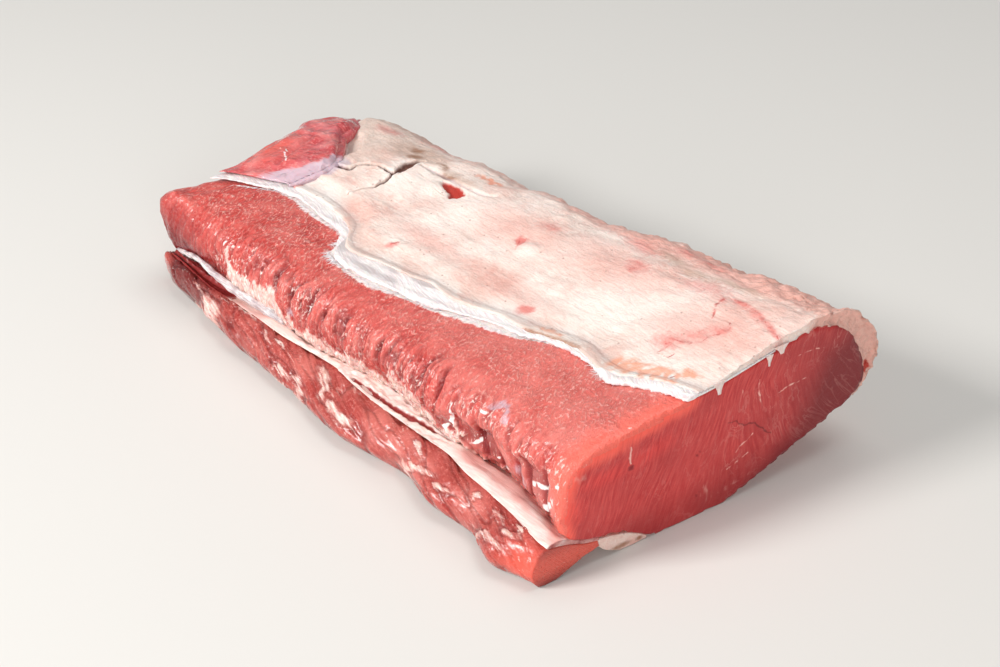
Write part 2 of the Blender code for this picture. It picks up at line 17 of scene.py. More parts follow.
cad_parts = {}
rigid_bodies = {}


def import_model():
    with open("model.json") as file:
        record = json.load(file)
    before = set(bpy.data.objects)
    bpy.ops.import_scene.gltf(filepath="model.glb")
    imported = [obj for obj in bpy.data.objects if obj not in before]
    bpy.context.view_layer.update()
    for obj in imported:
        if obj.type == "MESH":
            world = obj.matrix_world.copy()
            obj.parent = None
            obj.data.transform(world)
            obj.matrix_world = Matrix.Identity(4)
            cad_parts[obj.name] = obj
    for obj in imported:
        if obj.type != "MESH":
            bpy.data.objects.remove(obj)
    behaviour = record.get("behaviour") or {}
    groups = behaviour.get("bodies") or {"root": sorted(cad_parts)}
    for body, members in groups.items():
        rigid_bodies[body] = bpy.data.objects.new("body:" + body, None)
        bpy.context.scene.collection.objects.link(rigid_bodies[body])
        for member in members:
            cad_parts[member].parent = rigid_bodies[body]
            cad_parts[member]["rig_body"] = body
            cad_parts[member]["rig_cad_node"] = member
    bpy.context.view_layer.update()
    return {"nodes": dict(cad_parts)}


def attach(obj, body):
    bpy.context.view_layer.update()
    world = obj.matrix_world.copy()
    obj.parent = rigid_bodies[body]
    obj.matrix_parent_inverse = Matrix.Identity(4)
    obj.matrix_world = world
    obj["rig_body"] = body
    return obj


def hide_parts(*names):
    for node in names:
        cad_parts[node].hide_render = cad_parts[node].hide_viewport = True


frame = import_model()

bl_info = {
    "name": "Veal Loin",
    "version": (1, 0, 0),
    "blender": (4, 5, 0),
    "location": "3D View > Sidebar > Veal Loin",
    "description": "Models the flesh, fat and membranes of a raw boneless veal loin",
    "category": "Object",
}

CUT_SKEW = 0.117  # how far the knife cut runs towards +X for each millimetre of +Y
CUT_AT_MIDDLE = 142.134  # X of the cut at Y = 0
CUT_OUT = np.array([1.0, -CUT_SKEW, 0.0]) / math.hypot(1.0, CUT_SKEW)  # the way that the cut faces
ON_CUT = 0.45  # how far behind the cut a face still belongs to it
SHARP = 50.0  # degrees between two faces from which their edge counts as sharp
MERGE_WITHIN = 1e-6  # metres
MILLIMETRE = 0.001  # in metres
PER_METRE = 1000.0  # millimetres

# Where the grooves between the muscle bundles cross the boned side, as X.
SIDE_GROOVES = (
    -150, -139, -127, -115, -103.4, -91.4, -79.4, -67.4, -56, -43, -30.4, -19.4, -7.4, 5, 18.6, 29.6,
    44.6, 56.6, 66.6, 76, 86, 97, 108, 119, 131, 145,
)
# The grooves between the fingers of wet muscle in the hollow near the cut.
FINGER_GROOVES = (49, 67.5, 80, 89.5, 102, 108.5, 121.5, 134, 148)
# Rounded lobes of muscle in that hollow, and the dips between with painted shade:
# (X, Z, half width, half height, turn in degrees).
LOBES = (
    (57.5, 39, 8, 9, 0), (74, 42, 5.5, 7, 0), (95.5, 38, 5.5, 10, 0), (105.3, 43, 2.8, 5, 0),
    (84.5, 45, 4, 5, 0)
)
DIPS = ((84.5, 31, 5, 7, 0), (115, 37.5, 7, 7.5, 0), (74, 31, 4.5, 5.5, 0), (60, 30, 7, 4.5, 20))

# The torn edge of the backstrap on the eye's top: (X, Y).
TORN_EDGE = (
    (-152, -49), (-139, -48), (-128, -41.7), (-119, -36), (-108, -28), (-96, -26.9), (-86, -28.9),
    (-72, -30), (-60, -29.5), (-52, -32), (-46, -45), (-36, -46.7), (-22, -48), (-12, -47.8),
    (3, -43.5), (14, -41.2), (25, -39.3), (35, -36.4), (45, -34), (54, -31.7), (62, -29.5),
    (70, -24), (79, -21.5), (88, -19), (97, -20), (104, -24), (111, -24), (120, -18.5), (134, -10.5),
    (146, -8),
)

# The crumbly cream along the foot of the boned side: the height that it reaches at each X.
CRUMBS_UP_TO = (
    (-150, 12), (-100, 14), (-96, 26), (-90, 33), (-84, 33), (-79, 35), (-72, 35), (-65, 36), (-58, 38),
    (-54, 37.5), (-51, 34), (-48, 25), (-45.5, 25), (-44, 33), (-42.5, 29), (-40, 26), (-34, 27.5),
    (-28, 30), (-22, 28.5), (-17, 30.5), (-14, 26), (-7, 28.5), (-4, 31), (-1, 31), (3, 29), (6, 31.5),
    (9, 28), (12, 29), (14, 24), (17, 23), (21, 27), (23, 33), (25, 36), (27, 39), (31, 39), (33, 36.5),
    (35, 33), (41, 34), (44, 31), (47, 30), (50, 27), (55, 22), (58, 25), (62, 28), (66, 33), (68, 33),
    (69, 24), (72, 17.5), (150, 15),
)
# A smooth cream patch above the tendon: (X, Z, half width) along it.
CREAM_BY_TENDON = ((-92.5, 41.5, 0.7), (-91.5, 37, 1.3), (-89, 33, 2.4), (-84, 31, 3.0))
# White marks on the boned side, mostly painted glints on the wet muscle, with a few pale spots:
# (X, Z, half length, half height, turn in degrees).
WHITE_GLINTS_AND_SPOTS = (
    (76, 26.5, 4.2, 1.1, 38), (94.5, 26, 2.0, 0.8, 5), (88.5, 25.5, 0.9, 0.8, 0), (114, 44.3, 2.2, 0.5, 0),
    (117, 32.5, 6.5, 1.5, 24), (123.5, 27.5, 7.5, 2.0, 60), (122, 23, 2.4, 1.8, 0), (84, 47.5, 1.5, 0.8, 0),
    (66.5, 36, 0.8, 9, 0), (60, 27, 6, 1.0, 35), (130, 40, 0.9, 2.0, 0), (131, 45, 1.0, 0.8, 0),
    (-96, 42.7, 0.9, 1.0, 0), (-37, 42, 0.5, 3.2, 0), (-30, 39.5, 1.2, 1.6, 0),
)
# Scraps of thin lilac membrane on the boned side: (X, Z, half length, half height, turn in degrees).
LILAC_ON_SIDE = (
    (89.5, 50.5, 5.5, 1.0, 0), (94.5, 48.8, 1.8, 1.7, -30), (104, 27, 3.5, 5, 40), (-43, 33, 3, 2, 0)
)
# Cream patches on the side strip: (X, Y, half length, half width, turn in degrees).
CREAM_ON_STRIP = (
    (-99, -76.5, 9, 2.4, -8), (-92, -72, 4, 0.6, 0), (-115, -73, 3.5, 0.9, -10), (-56, -73.5, 6, 1.1, -14),
    (-47, -72.4, 5, 0.6, -6), (-37, -79.8, 8, 0.9, 0), (-23, -80, 5.5, 1.5, -20), (-15, -72.5, 6.5, 2.2, -30),
    (-8, -77, 4.5, 2.4, -45), (3, -80.5, 6, 2.0, -10), (13, -81.5, 6, 1.6, 4), (57, -78.4, 11, 1.1, 2),
    (53, -73.2, 4.5, 0.9, -30), (74, -80, 5, 1.0, 4), (90, -75, 2.2, 2.0, 0), (105.5, -77, 4.6, 1.0, -22),
    (108, -84.7, 9, 1.1, -6), (116, -79.5, 5.5, 1.4, 10), (117, -76, 3, 0.7, -20), (-78, -70.6, 12, 0.7, 0),
)
# Smooth light panels of flesh on the side strip, in the same way.
LIGHT_ON_STRIP = (
    (28, -75, 9, 5, 0), (42, -75, 7, 5, 0), (57, -79, 9, 5, 0), (90, -77, 9, 4, 0), (-25, -74, 7, 4, 0)
)

# Cracks in the fat near the rump end: (X, Y, half width) along each.
CRACKS = (
    ((-102, 1.5, 1.0), (-96.5, 4.5, 1.1), (-96.2, 9.3, 0.7), (-93.5, 13.2, 0.65), (-87.7, 14.8, 0.75),
     (-81, 14.4, 0.75), (-74.9, 14.4, 0.9)),
    ((-74.9, 14.4, 1.0), (-76.0, 19.1, 2.0), (-77.4, 25.0, 2.2), (-76.8, 29.5, 1.4), (-75.6, 33.0, 0.5)),
    ((-74.9, 14.4, 0.9), (-74.2, 8.5, 0.85), (-74.6, 2.6, 0.65), (-77.3, -2.5, 0.5), (-79.4, -8.5, 0.3)),
)
# The split at the foot of the raised fat, which runs from the widest crack to the pocket.
FOLD = ((-72, 29.5, 1.2), (-64, 30.5, 1.6), (-55, 30, 1.6), (-45, 29.5, 1.2), (-33, 30, 0.9), (-24, 33, 0.6))
# The pocket where red flesh shows through: (X, Y, half length, half width, turn in degrees).
POCKET = ((-44.5, 25.0, 8.5, 3.0, -6), (-39.5, 22.5, 3.5, 3.6, 0))

# Coloured marks on the fat: (X, Y, half length, half width, turn in degrees).
PINK_MARKS = (
    (13.4, 16, 3.0, 3.4, 20), (15.3, 31.7, 7, 4, 0), (67, 33, 8, 5.5, -10), (72, 58, 6, 4, 0),
    (86, 58, 8, 3, 0), (110, 6, 8, 4.5, 26), (117, 14, 9, 3.0, 40), (127, 38, 10, 2.4, -20),
    (122, 22, 6, 3, 30), (51.5, -15.5, 3.6, 2.8, 0), (51.5, -15.5, 5, 4, 0), (118, 40, 5, 2.6, 0),
    (140, 33, 7, 2.4, -16), (-27, -23.7, 3.2, 1.6, 40), (51, -17.6, 4, 3.4, 0), (-116, 43, 9, 5, 0),
    (-88, 55, 16, 6, 0), (55, 48, 16, 5, 0), (100, 40, 14, 6, 10),
)
BLUSH = (
    (5, 20, 26, 14, 0), (60, 28, 30, 16, 0), (116, 14, 22, 16, 10), (-64, -14, 16, 8, 0),
    (100, 60, 34, 14, 0), (-20, -10, 26, 8, 0), (40, 55, 40, 9, 0), (30, -10, 30, 9, 0),
    (126, 26, 24, 20, 0),
)
PEACH_MARKS = (
    (109, -14, 8, 4.6, 20), (121, -10, 10, 4.4, 22), (130, -3, 6, 3.0, 34), (70, -18, 7, 1.6, 12),
    (126, -8, 1.2, 3.4, 0), (-38, 43, 10, 3, 0),
)
BROWN_MARKS = ((-65.5, 36, 5.5, 1.9, -8), (-90, 40, 5, 3.4, 0), (-82, 33, 5, 4, 0), (-57, 31, 7, 2.2, 0))
# Grey marks, partly painted shade along the shallow valley before the back roll.
GREY_AND_SHADE_MARKS = (
    (69, 49, 13, 3.0, -6), (90, 45, 14, 2.6, -4), (108, 49, 16, 2.6, 4), (-80, 38, 16, 8, 0),
    (-50, 33, 14, 4, 0)
)
# Short red threads on the fat: (X, Y, half width) along each.
THREADS = (
    ((110.5, 37.5, 0.35), (111.3, 32.5, 0.5), (113.6, 29.5, 0.5), (114.2, 27.6, 0.35), (115.5, 25.8, 0.3)),
    ((113.5, 40.5, 0.3), (120.7, 41.3, 0.2), (129.1, 38.4, 0.26), (140.3, 33.2, 0.2), (146, 30.6, 0.15)),
    ((59.7, 34.9, 0.12), (63.2, 35.5, 0.18), (67, 35.2, 0.12)),
    ((65.8, 29.5, 0.3), (67.5, 28, 0.15)),
    (
        (122.6, 28, 0.2), (125.3, 25, 0.35), (124.8, 22, 0.3), (122.3, 18.5, 0.25), (122, 14, 0.2),
        (119, 10, 0.15)
    ),
    ((112, 8, 0.25), (116, 9.5, 0.2), (119.5, 11, 0.15)),
    ((109.5, 4.5, 0.15), (113, 5, 0.25), (116.5, 4.2, 0.15)),
    ((111, -2, 0.15), (113, 1.5, 0.2), (112.5, 6, 0.2)),
    ((10.5, 18, 0.2), (12.5, 15, 0.4), (16, 10, 0.15)),
    ((-25.5, -19.5, 0.2), (-27.5, -23.5, 0.35), (-30, -26.5, 0.2)),
    ((124.5, -10.5, 0.2), (126, -8, 0.3), (127.5, -5.5, 0.2)),
    ((111.4, -1.3, 0.12), (117.7, -0.6, 0.2), (118.4, 5.2, 0.12)),
)
# The middle of the lilac membrane between the fat and the rump's tip: (Y, X).
LILAC_LINE = (
    (-40, -136), (-30, -127), (-26, -121), (-20, -114), (-13, -108.5), (-5, -105.5), (2, -105.5), (8, -107),
    (14, -112), (18, -119), (26, -125),
)
# Where the fat meets the rump's tip: (Y, X).
RUMP_EDGE = (
    (-24, -106.5), (-10, -102.5), (0, -102), (5, -104), (10, -110), (15, -115.5), (20, -121.5), (25, -125),
    (30, -127.5), (35, -130), (40, -135), (44, -142),
)
# The light seam line along the top of the fat.
RIDGE_LINE = (
    (-58, 5, 1.3), (-45, 2.6, 1.3), (-20.3, 2.2, 1.3), (16.2, 1.1, 1.4), (32.1, 2.9, 1.4), (60, 8, 1.2)
)

# The tendon's path along the foot of the boned side: (X, Z, how far it stands out, half width).
TENDON = (
    (-138, 21.5, 0.2, 0.8), (-130.1, 22.9, 1.2, 1.2), (-123, 24.6, 1.8, 1.4), (-116.5, 25.6, 2.2, 1.3),
    (-107.7, 26.0, 2.4, 1.6), (-99.4, 25.2, 2.2, 1.8), (-87.1, 24.3, 1.8, 2.0), (-78.9, 23.6, 1.6, 2.1),
    (-70.7, 23.6, 1.3, 2.3), (-62.6, 23.8, 0.9, 2.4), (-56.2, 23.6, 0.5, 2.0), (-50, 23.6, 0.1, 1.0),
)

# White veins on the cut face, and a split: (Y, Z, half width) along each.
VEINS = (
    ((-39.3, 48.5, 0.3), (-39.0, 44.7, 0.4), (-38.8, 40.8, 0.25)),
    ((22.1, 29.4, 0.25), (19.2, 27.1, 0.3), (15.8, 25.7, 0.3), (14.0, 23.5, 0.2)),
    ((22.8, 55.1, 0.2), (22.9, 49.9, 0.3), (24.7, 42.9, 0.2)),
    ((13.9, 54.0, 0.2), (15.4, 49.1, 0.25)),
    ((9.5, 16.4, 0.2), (14.5, 18.3, 0.3), (20.5, 20.7, 0.25)),
    ((31.8, 43.9, 0.2), (39.4, 45.7, 0.3), (47.8, 45.7, 0.2)),
    ((42.6, 59.1, 0.2), (48.9, 58.6, 0.3), (56.4, 57.1, 0.2)),
)
CUT_SPLIT = (
    (8.0, 39.5, 0.15), (12.4, 38.8, 0.25), (17.3, 35.8, 0.35), (22.1, 34.3, 0.35), (26.7, 29.9, 0.3),
    (31.5, 24.9, 0.2)
)

# The left and upper rim of the cut face, where a glow of light shining through the lean is painted: (Y, Z).
GLOWING_RIM = (
    (-69.5, 19), (-70.5, 30), (-69.5, 41), (-66, 48.5), (-58, 52.5), (-46, 55), (-30, 57), (-14, 59)
)

# Marks on the cut face: (Y, Z, half length, half width, turn in degrees).
EMBERS = ((-64, 29, 6, 7, 0), (-50, 39.5, 14, 4.5, 0), (-30, 42, 14, 5, 10))
PALE_BLOTCHES = ((-62.5, 45, 2.6, 4.5, 20), (-1, 12, 2.0, 7, 12), (12, 7.5, 12, 0.9, 8))
BLOOD_SPOTS = ((-38.7, 38.9, 1.6, 1.2, 0), (-5.9, 31.1, 1.5, 0.5, 50), (-4.6, 10.3, 1.6, 0.5, 60))
# Raised lumps and low swellings of the fat, and its reddest spots: (X, Y, half length, half width, turn).
KNOBS = ((-52.0, 19.5, 4.6, 3.6, 0), (20.5, 14.0, 4.0, 3.6, 0))
SWELLINGS = ((-26, 41, 6, 4, 0), (-44, 37, 9, 4, -10))
PINK_SPOTS = ((51.5, -15.5, 3.0, 2.2, 0), (12.5, 15.5, 2.0, 1.6, 0))
# The gully, the painted glints and the painted glow on part of the rump's tip, by X and Y.
RUMP_GULLY = ((-143, 4, 1.4), (-130, 8.5, 1.4), (-126.5, -6, 1.4), (-123, -18, 1.4))
RUMP_GLINTS = ((-126.5, -11.5, 3.4, 0.6, -24), (-122, -14, 3.0, 0.6, -24), (-129, -9, 2.4, 0.5, -24))
RUMP_GLOW = ((-140, -12, 16, 14, 0),)
# The side strip's dips of painted shade by X and Y, pale line across the cut by Y and Z, and clear tip with a
# painted glow by X and Z.
STRIP_DIPS = ((-74, -79, 12, 2, 0), (-31, -78.5, 4, 1, 0))
STRIP_LINE = ((-79, 4.5, 0.5), (-70, 7, 0.5), (-61, 6.5, 0.4))
STRIP_TIP = ((131, 9, 12, 7, 0),)
# The slit in the seam: (X, Y, half width) along it.
SEAM_SLIT = (
    (-2, -65.9, 0.6), (14.2, -65.7, 1.0), (27.7, -65.6, 1.0), (36, -64.5, 1.3), (45, -63.0, 1.1),
    (58, -62.0, 0.6),
)
# Brown stains on the pad's cut face: (Y, Z, half length, half width, turn in degrees).
PAD_STAINS = ((-40, 2.2, 3.5, 1.4, 0), (-33, 2.0, 2, 1.2, 0))
# How far the pad's side goes towards the strip, in millimetres, over the gap between their solids.
PAD_PUSH = 4.2
# The tendon's strands: (how far above its path, share of its width, first point of the path).
TENDON_STRANDS = ((0.0, 1.0, 0), (-1.3, 0.55, 5), (1.2, 0.45, 7))
# Scraps of membrane over the cut face: (Y, Z, width, drop, thickness).
SCRAPS = ((1.6, 62.0, 3.4, 6.4, 0.6), (26.5, 64.5, 2.0, 5.4, 0.6), (32.0, 67.0, 4.2, 4.2, 0.7))

# The studio's soft lamps: (name, place and size in metres, power in watts).
LAMPS = (
    ("key_softbox", (-0.45, -1.3, 0.95), 0.45, 25.0), ("top_softbox", (0.1, 0.4, 1.4), 0.9, 8.0),
    ("front_fill", (1.1, -0.75, 0.5), 0.6, 7.4),
)
LAMP_COLOUR = (1.0, 0.985, 0.965)
LAMPS_AIM_AT = (0.0, 0.0, 0.03)
# The camera: its turn and lift in degrees, the point that it looks at and how far off it stands, in metres.
CAMERA_TURN = 49.3
CAMERA_LIFT = 33.6
CAMERA_AIM = (0.026645, -0.007906, 0.03)
CAMERA_AWAY = 0.715
CAMERA_LENS = 60.0  # focal length in millimetres, on a sensor 36 mm wide


# ---------------------------------------------------------------- small tools

def linear(code):
    """A colour written as an sRGB hex value, turned to linear light."""
    parts = [int(code[i:i + 2], 16) / 255.0 for i in (1, 3, 5)]
    return tuple(p / 12.92 if p <= 0.04045 else ((p + 0.055) / 1.055) ** 2.4 for p in parts) + (1.0,)


def eased(value, low, high):
    """0 below low, 1 above high, and a smooth step between."""
    share = np.clip((value - low) / (high - low), 0.0, 1.0)
    return share * share * (3.0 - 2.0 * share)


def faded(value, low, high):
    """1 below low, 0 above high, and a smooth step between."""
    return 1.0 - eased(value, low, high)


def columns(*parts):
    """Arrays side by side, as the columns of one."""
    return np.stack(parts, axis=1)


def noise(points, size, seed):
    """Smooth noise of about -1 to 1 at points in mm; size is the width of a lump, or one for each axis."""
    spot = points / np.asarray(size, float) + seed * np.array([7.31, 3.17, 5.53])
    cell = np.floor(spot)
    part = spot - cell
    fade = part ** 3 * (part * (part * 6.0 - 15.0) + 10.0)
    cell = cell.astype(np.int64)
    total = np.zeros(len(points))
    for i in (0, 1):
        for j in (0, 1):
            for k in (0, 1):
                x, y, z = cell[:, 0] + i, cell[:, 1] + j, cell[:, 2] + k
                mixed = (x * 73856093) ^ (y * 19349663) ^ (z * 83492791) ^ (seed * 2654435)
                mixed = (mixed ^ (mixed >> 13)) * 1274126177 & 0x7FFFFFFF
                mixed = (mixed ^ (mixed >> 11)) * 668265263 & 0x7FFFFFFF
                slope = np.stack([(mixed >> shift & 1023) / 511.5 - 1.0 for shift in (0, 10, 20)], axis=1)
                dot = ((part - (i, j, k)) * slope).sum(axis=1)
                weight = np.ones(len(points))
                for axis, corner in enumerate((i, j, k)):
                    weight *= fade[:, axis] if corner else 1.0 - fade[:, axis]
                total += dot * weight
    return total * 1.5


def marks_at(flat, marks, soft=0.5):
    """1 inside any of the turned ellipses, fading to 0 just outside them."""
    found = np.zeros(len(flat))
    for a, b, half_a, half_b, turn in marks:
        c, s = math.cos(math.radians(turn)), math.sin(math.radians(turn))
        across, up = flat[:, 0] - a, flat[:, 1] - b
        reach = np.hypot((across * c + up * s) / half_a, (up * c - across * s) / half_b)
        found = np.maximum(found, faded(reach, 1.0 - soft, 1.0 + soft))
    return found


def line_reach(flat, line):
    """Distance to a line as a multiple of its half width there, for a line of (a, b, half width)."""
    nearest = np.full(len(flat), 1e9)
    for (a0, b0, w0), (a1, b1, w1) in zip(line[:-1], line[1:]):
        step = np.array([a1 - a0, b1 - b0])
        share = np.clip(((flat - (a0, b0)) @ step) / (step @ step), 0.0, 1.0)
        gap = np.hypot(*(flat - (a0, b0) - share[:, None] * step).T)
        nearest = np.minimum(nearest, gap / (w0 + (w1 - w0) * share))
    return nearest


def as_path(line):
    """The same line with a half width of 1 all along, so that its reach is a distance."""
    return [(point[0], point[1], 1.0) for point in line]


def along(table, x):
    """The value that a table of pairs gives at x, straight between its points."""
    table = np.array(table, float)
    return np.interp(x, table[:, 0], table[:, 1])


def bundles(across, grooves, fullness):
    """1 on the crown of each bundle and 0 in the groove between two."""
    grooves = np.array(grooves, float)
    index = np.clip(np.searchsorted(grooves, across) - 1, 0, len(grooves) - 2)
    share = (across - grooves[index]) / (grooves[index + 1] - grooves[index])
    return 1.0 - np.abs(2.0 * np.clip(share, 0.0, 1.0) - 1.0) ** fullness


def behind_cut(p):
    """How far each point lies behind the plane of the knife cut."""
    return (CUT_AT_MIDDLE + CUT_SKEW * p[:, 1] - p[:, 0]) / math.hypot(1.0, CUT_SKEW)


def up_the_side(p):
    """The way from the foot of the boned side, up and over the shoulder, in millimetres."""
    return (p[:, 2] - 18.0) + np.maximum(p[:, 1] + 66.0, 0.0)


# ---------------------------------------------------------------- work on meshes

def merge_doubles(within):
    """Merges points of the active piece that lie within a distance in metres."""
    bpy.ops.object.mode_set(mode="EDIT")
    bpy.ops.mesh.select_all(action="SELECT")
    bpy.ops.mesh.remove_doubles(threshold=within)
    bpy.ops.object.mode_set(mode="OBJECT")


def copy_of(node, name):
    """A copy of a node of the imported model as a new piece, with its doubled points merged."""
    bpy.ops.object.select_all(action="DESELECT")
    source = frame["nodes"][node]
    source.select_set(True)
    bpy.context.view_layer.objects.active = source
    bpy.ops.object.duplicate()
    piece = bpy.context.active_object
    bpy.ops.object.parent_clear(type="CLEAR_KEEP_TRANSFORM")
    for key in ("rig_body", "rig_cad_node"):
        if key in piece:
            del piece[key]
    piece.name = name
    piece.data.name = name
    piece.data.materials.clear()
    bpy.ops.mesh.customdata_custom_splitnormals_clear()
    merge_doubles(MERGE_WITHIN)
    bpy.ops.object.shade_smooth()
    return piece


def make_active(piece):
    bpy.ops.object.select_all(action="DESELECT")
    piece.select_set(True)
    bpy.context.view_layer.objects.active = piece


def remesh(piece, size):
    """An even mesh of quads of the given size in millimetres over the piece."""
    piece.data.remesh_voxel_size = size * MILLIMETRE
    piece.data.remesh_voxel_adaptivity = 0.0
    bpy.ops.object.voxel_remesh()
    bpy.ops.object.shade_smooth()


def smooth_finer(piece, levels):
    """Catmull-Clark levels on the active piece, applied."""
    bpy.ops.object.modifier_add(type="SUBSURF")
    finer = piece.modifiers[-1]
    finer.levels = finer.render_levels = levels
    bpy.ops.object.modifier_apply(modifier=finer.name)


def subdivide_all(piece, levels):
    """Catmull-Clark levels, with the sharp rim of the knife cut kept."""
    bpy.ops.object.mode_set(mode="EDIT")
    bpy.ops.mesh.select_mode(type="EDGE")
    bpy.ops.mesh.select_all(action="DESELECT")
    bpy.ops.mesh.edges_select_sharp(sharpness=math.radians(SHARP))
    bpy.ops.object.mode_set(mode="OBJECT")
    chosen = np.zeros(len(piece.data.edges), bool)
    piece.data.edges.foreach_get("select", chosen)
    on_cut = behind_cut(points_of(piece))[edges_of(piece)].max(axis=1) < 0.4
    crease = piece.data.attributes.new("crease_edge", "FLOAT", "EDGE")
    crease.data.foreach_set("value", (chosen & on_cut).astype(np.float32))
    smooth_finer(piece, levels)


def refine(piece, chosen, cuts=1):
    """Subdivides the chosen faces."""
    bpy.ops.object.mode_set(mode="EDIT")
    bpy.ops.mesh.select_mode(type="FACE")
    bpy.ops.mesh.select_all(action="DESELECT")
    bpy.ops.object.mode_set(mode="OBJECT")
    piece.data.polygons.foreach_set("select", chosen)
    bpy.ops.object.mode_set(mode="EDIT")
    bpy.ops.mesh.subdivide(number_cuts=cuts)
    bpy.ops.object.mode_set(mode="OBJECT")


def values_of(items, field, width=3, kind=np.float32):
    """A field of every point, edge or face of a mesh, in a row for each."""
    flat = np.empty(len(items) * width, kind)
    items.foreach_get(field, flat)
    return flat.reshape(-1, width)


def points_of(piece):
    return values_of(piece.data.vertices, "co").astype(float) * PER_METRE


def normals_of(piece):
    return values_of(piece.data.vertex_normals, "vector").astype(float)


def edges_of(piece):
    return values_of(piece.data.edges, "vertices", 2, np.int32)


def centres_of(piece):
    return values_of(piece.data.polygons, "center").astype(float) * PER_METRE


def facing_of(piece):
    return values_of(piece.data.polygons, "normal").astype(float)


def move_to(piece, p):
    piece.data.vertices.foreach_set("co", (p / PER_METRE).astype(np.float32).ravel())
    piece.data.update()


def relax(piece, weight, times):
    """Smooths the mesh, where weight is above 0."""
    p, pairs = points_of(piece), edges_of(piece)
    count = np.maximum(np.bincount(pairs.ravel(), minlength=len(p)), 1)[:, None]
    for _ in range(times):
        total = np.zeros_like(p)
        for axis in range(3):
            total[:, axis] += np.bincount(pairs[:, 0], p[pairs[:, 1], axis], len(p))
            total[:, axis] += np.bincount(pairs[:, 1], p[pairs[:, 0], axis], len(p))
        p += (weight * 0.5)[:, None] * (total / count - p)
    move_to(piece, p)


def stay_flat(p, moved):
    """Moves points that lie in the plane of the cut only within it, and keeps all above the table."""
    on_cut = faded(behind_cut(p), 0.1, 0.9)
    step = moved - p
    step -= (on_cut * (step @ CUT_OUT))[:, None] * CUT_OUT
    moved = p + step
    moved[:, 2] = np.maximum(moved[:, 2], np.minimum(p[:, 2], 0.05))
    return moved


def paint(piece, name, values):
    """Keeps a number, or a vector, for each point of the mesh, for the material to read."""
    values = np.asarray(values, np.float32)
    kind, field = ("FLOAT_VECTOR", "vector") if values.ndim == 2 else ("FLOAT", "value")
    layer = piece.data.attributes.new(name, kind, "POINT")
    layer.data.foreach_set(field, values.ravel())


def paint_share(piece, name, values):
    """Keeps a number from 0 to 1 for each point."""
    paint(piece, name, np.clip(values, 0.0, 1.0))


def settle(piece, slot, *nodes):
    """Gives the finished piece to the body, in place of the nodes that it stands for."""
    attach(piece, "root")
    if nodes:
        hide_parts(*nodes)
    piece.select_set(False)


def tube_curve(name, radius, rounds):
    """A curve without points yet, drawn as closed tubes; its radius is in metres."""
    curve = bpy.data.curves.new(name, "CURVE")
    curve.dimensions = "3D"
    curve.bevel_depth = radius
    curve.bevel_resolution = rounds
    curve.use_fill_caps = True
    return curve


def mesh_of_tubes(context, curve, within):
    """The curve's tubes as a mesh of the same name, with points that lie within a distance merged."""
    tubes = bpy.data.objects.new(curve.name, curve)
    context.scene.collection.objects.link(tubes)
    make_active(tubes)
    bpy.ops.object.convert(target="MESH")
    piece = bpy.context.active_object
    merge_doubles(within)
    return piece


def surface_of(node):
    mesh = frame["nodes"][node].data
    return BVHTree.FromPolygons([v.co for v in mesh.vertices], [p.vertices for p in mesh.polygons])


def height_on(tree, x, y):
    """Z of a surface under the point (x, y), in millimetres, or None beside it."""
    hit = tree.ray_cast(Vector((x, y, 200.0)) * MILLIMETRE, Vector((0.0, 0.0, -1.0)))[0]
    return hit.z * PER_METRE if hit else None


# ---------------------------------------------------------------- materials

SMOOTH = {"interpolation_type": "SMOOTHSTEP"}
RGBA = {"data_type": "RGBA"}


def add_node(tree, kind, inputs=None, **settings):
    """Adds a node with its settings; inputs are values, or sockets to link from."""
    made = tree.nodes.new(kind)
    for name, value in settings.items():
        setattr(made, name, value)
    for socket, value in (inputs or {}).items():
        if isinstance(value, bpy.types.NodeSocket):
            tree.links.new(value, made.inputs[socket])
        else:
            made.inputs[socket].default_value = value
    return made


def laid_by_noise(tree, below, shade, cloud, low, high, most=1.0):
    """A colour laid over what is below it where a noise runs high."""
    shown = add_node(tree, "ShaderNodeMapRange", {
        0: cloud.outputs[0], 1: low, 2: high, 4: most}, **SMOOTH)
    return add_node(tree, "ShaderNodeMix", {0: shown.outputs[0], 6: below, 7: shade}, **RGBA)


def laid_by_zone(tree, below, shade, label, edge, torn, low, high, most=1.0):
    """A colour laid over what is below it where the mesh's attribute says, with an edge torn by a noise."""
    zone = add_node(tree, "ShaderNodeAttribute", attribute_name=label)
    ragged = add_node(tree, "ShaderNodeMath", {
        0: edge.outputs[0], 1: torn, 2: zone.outputs["Fac"]}, operation="MULTIPLY_ADD")
    return laid_by_noise(tree, below, shade, ragged, low, high, most)


def start_material(name, roughness, sheen_of_water, see_through, reach):
    """A Principled material: moist flesh scatters light below its surface and carries a film of juice."""
    material = bpy.data.materials.new(name)
    material.use_nodes = True
    tree = material.node_tree
    shader = tree.nodes["Principled BSDF"]
    shader.inputs["Roughness"].default_value = roughness
    shader.inputs["IOR"].default_value = 1.38
    shader.inputs["Coat Weight"].default_value = sheen_of_water
    shader.inputs["Coat Roughness"].default_value = 0.16
    shader.inputs["Coat IOR"].default_value = 1.33
    shader.inputs["Subsurface Weight"].default_value = see_through
    shader.inputs["Subsurface Radius"].default_value = (1.0, 0.42, 0.3)
    shader.inputs["Subsurface Scale"].default_value = reach
    return material, tree, shader


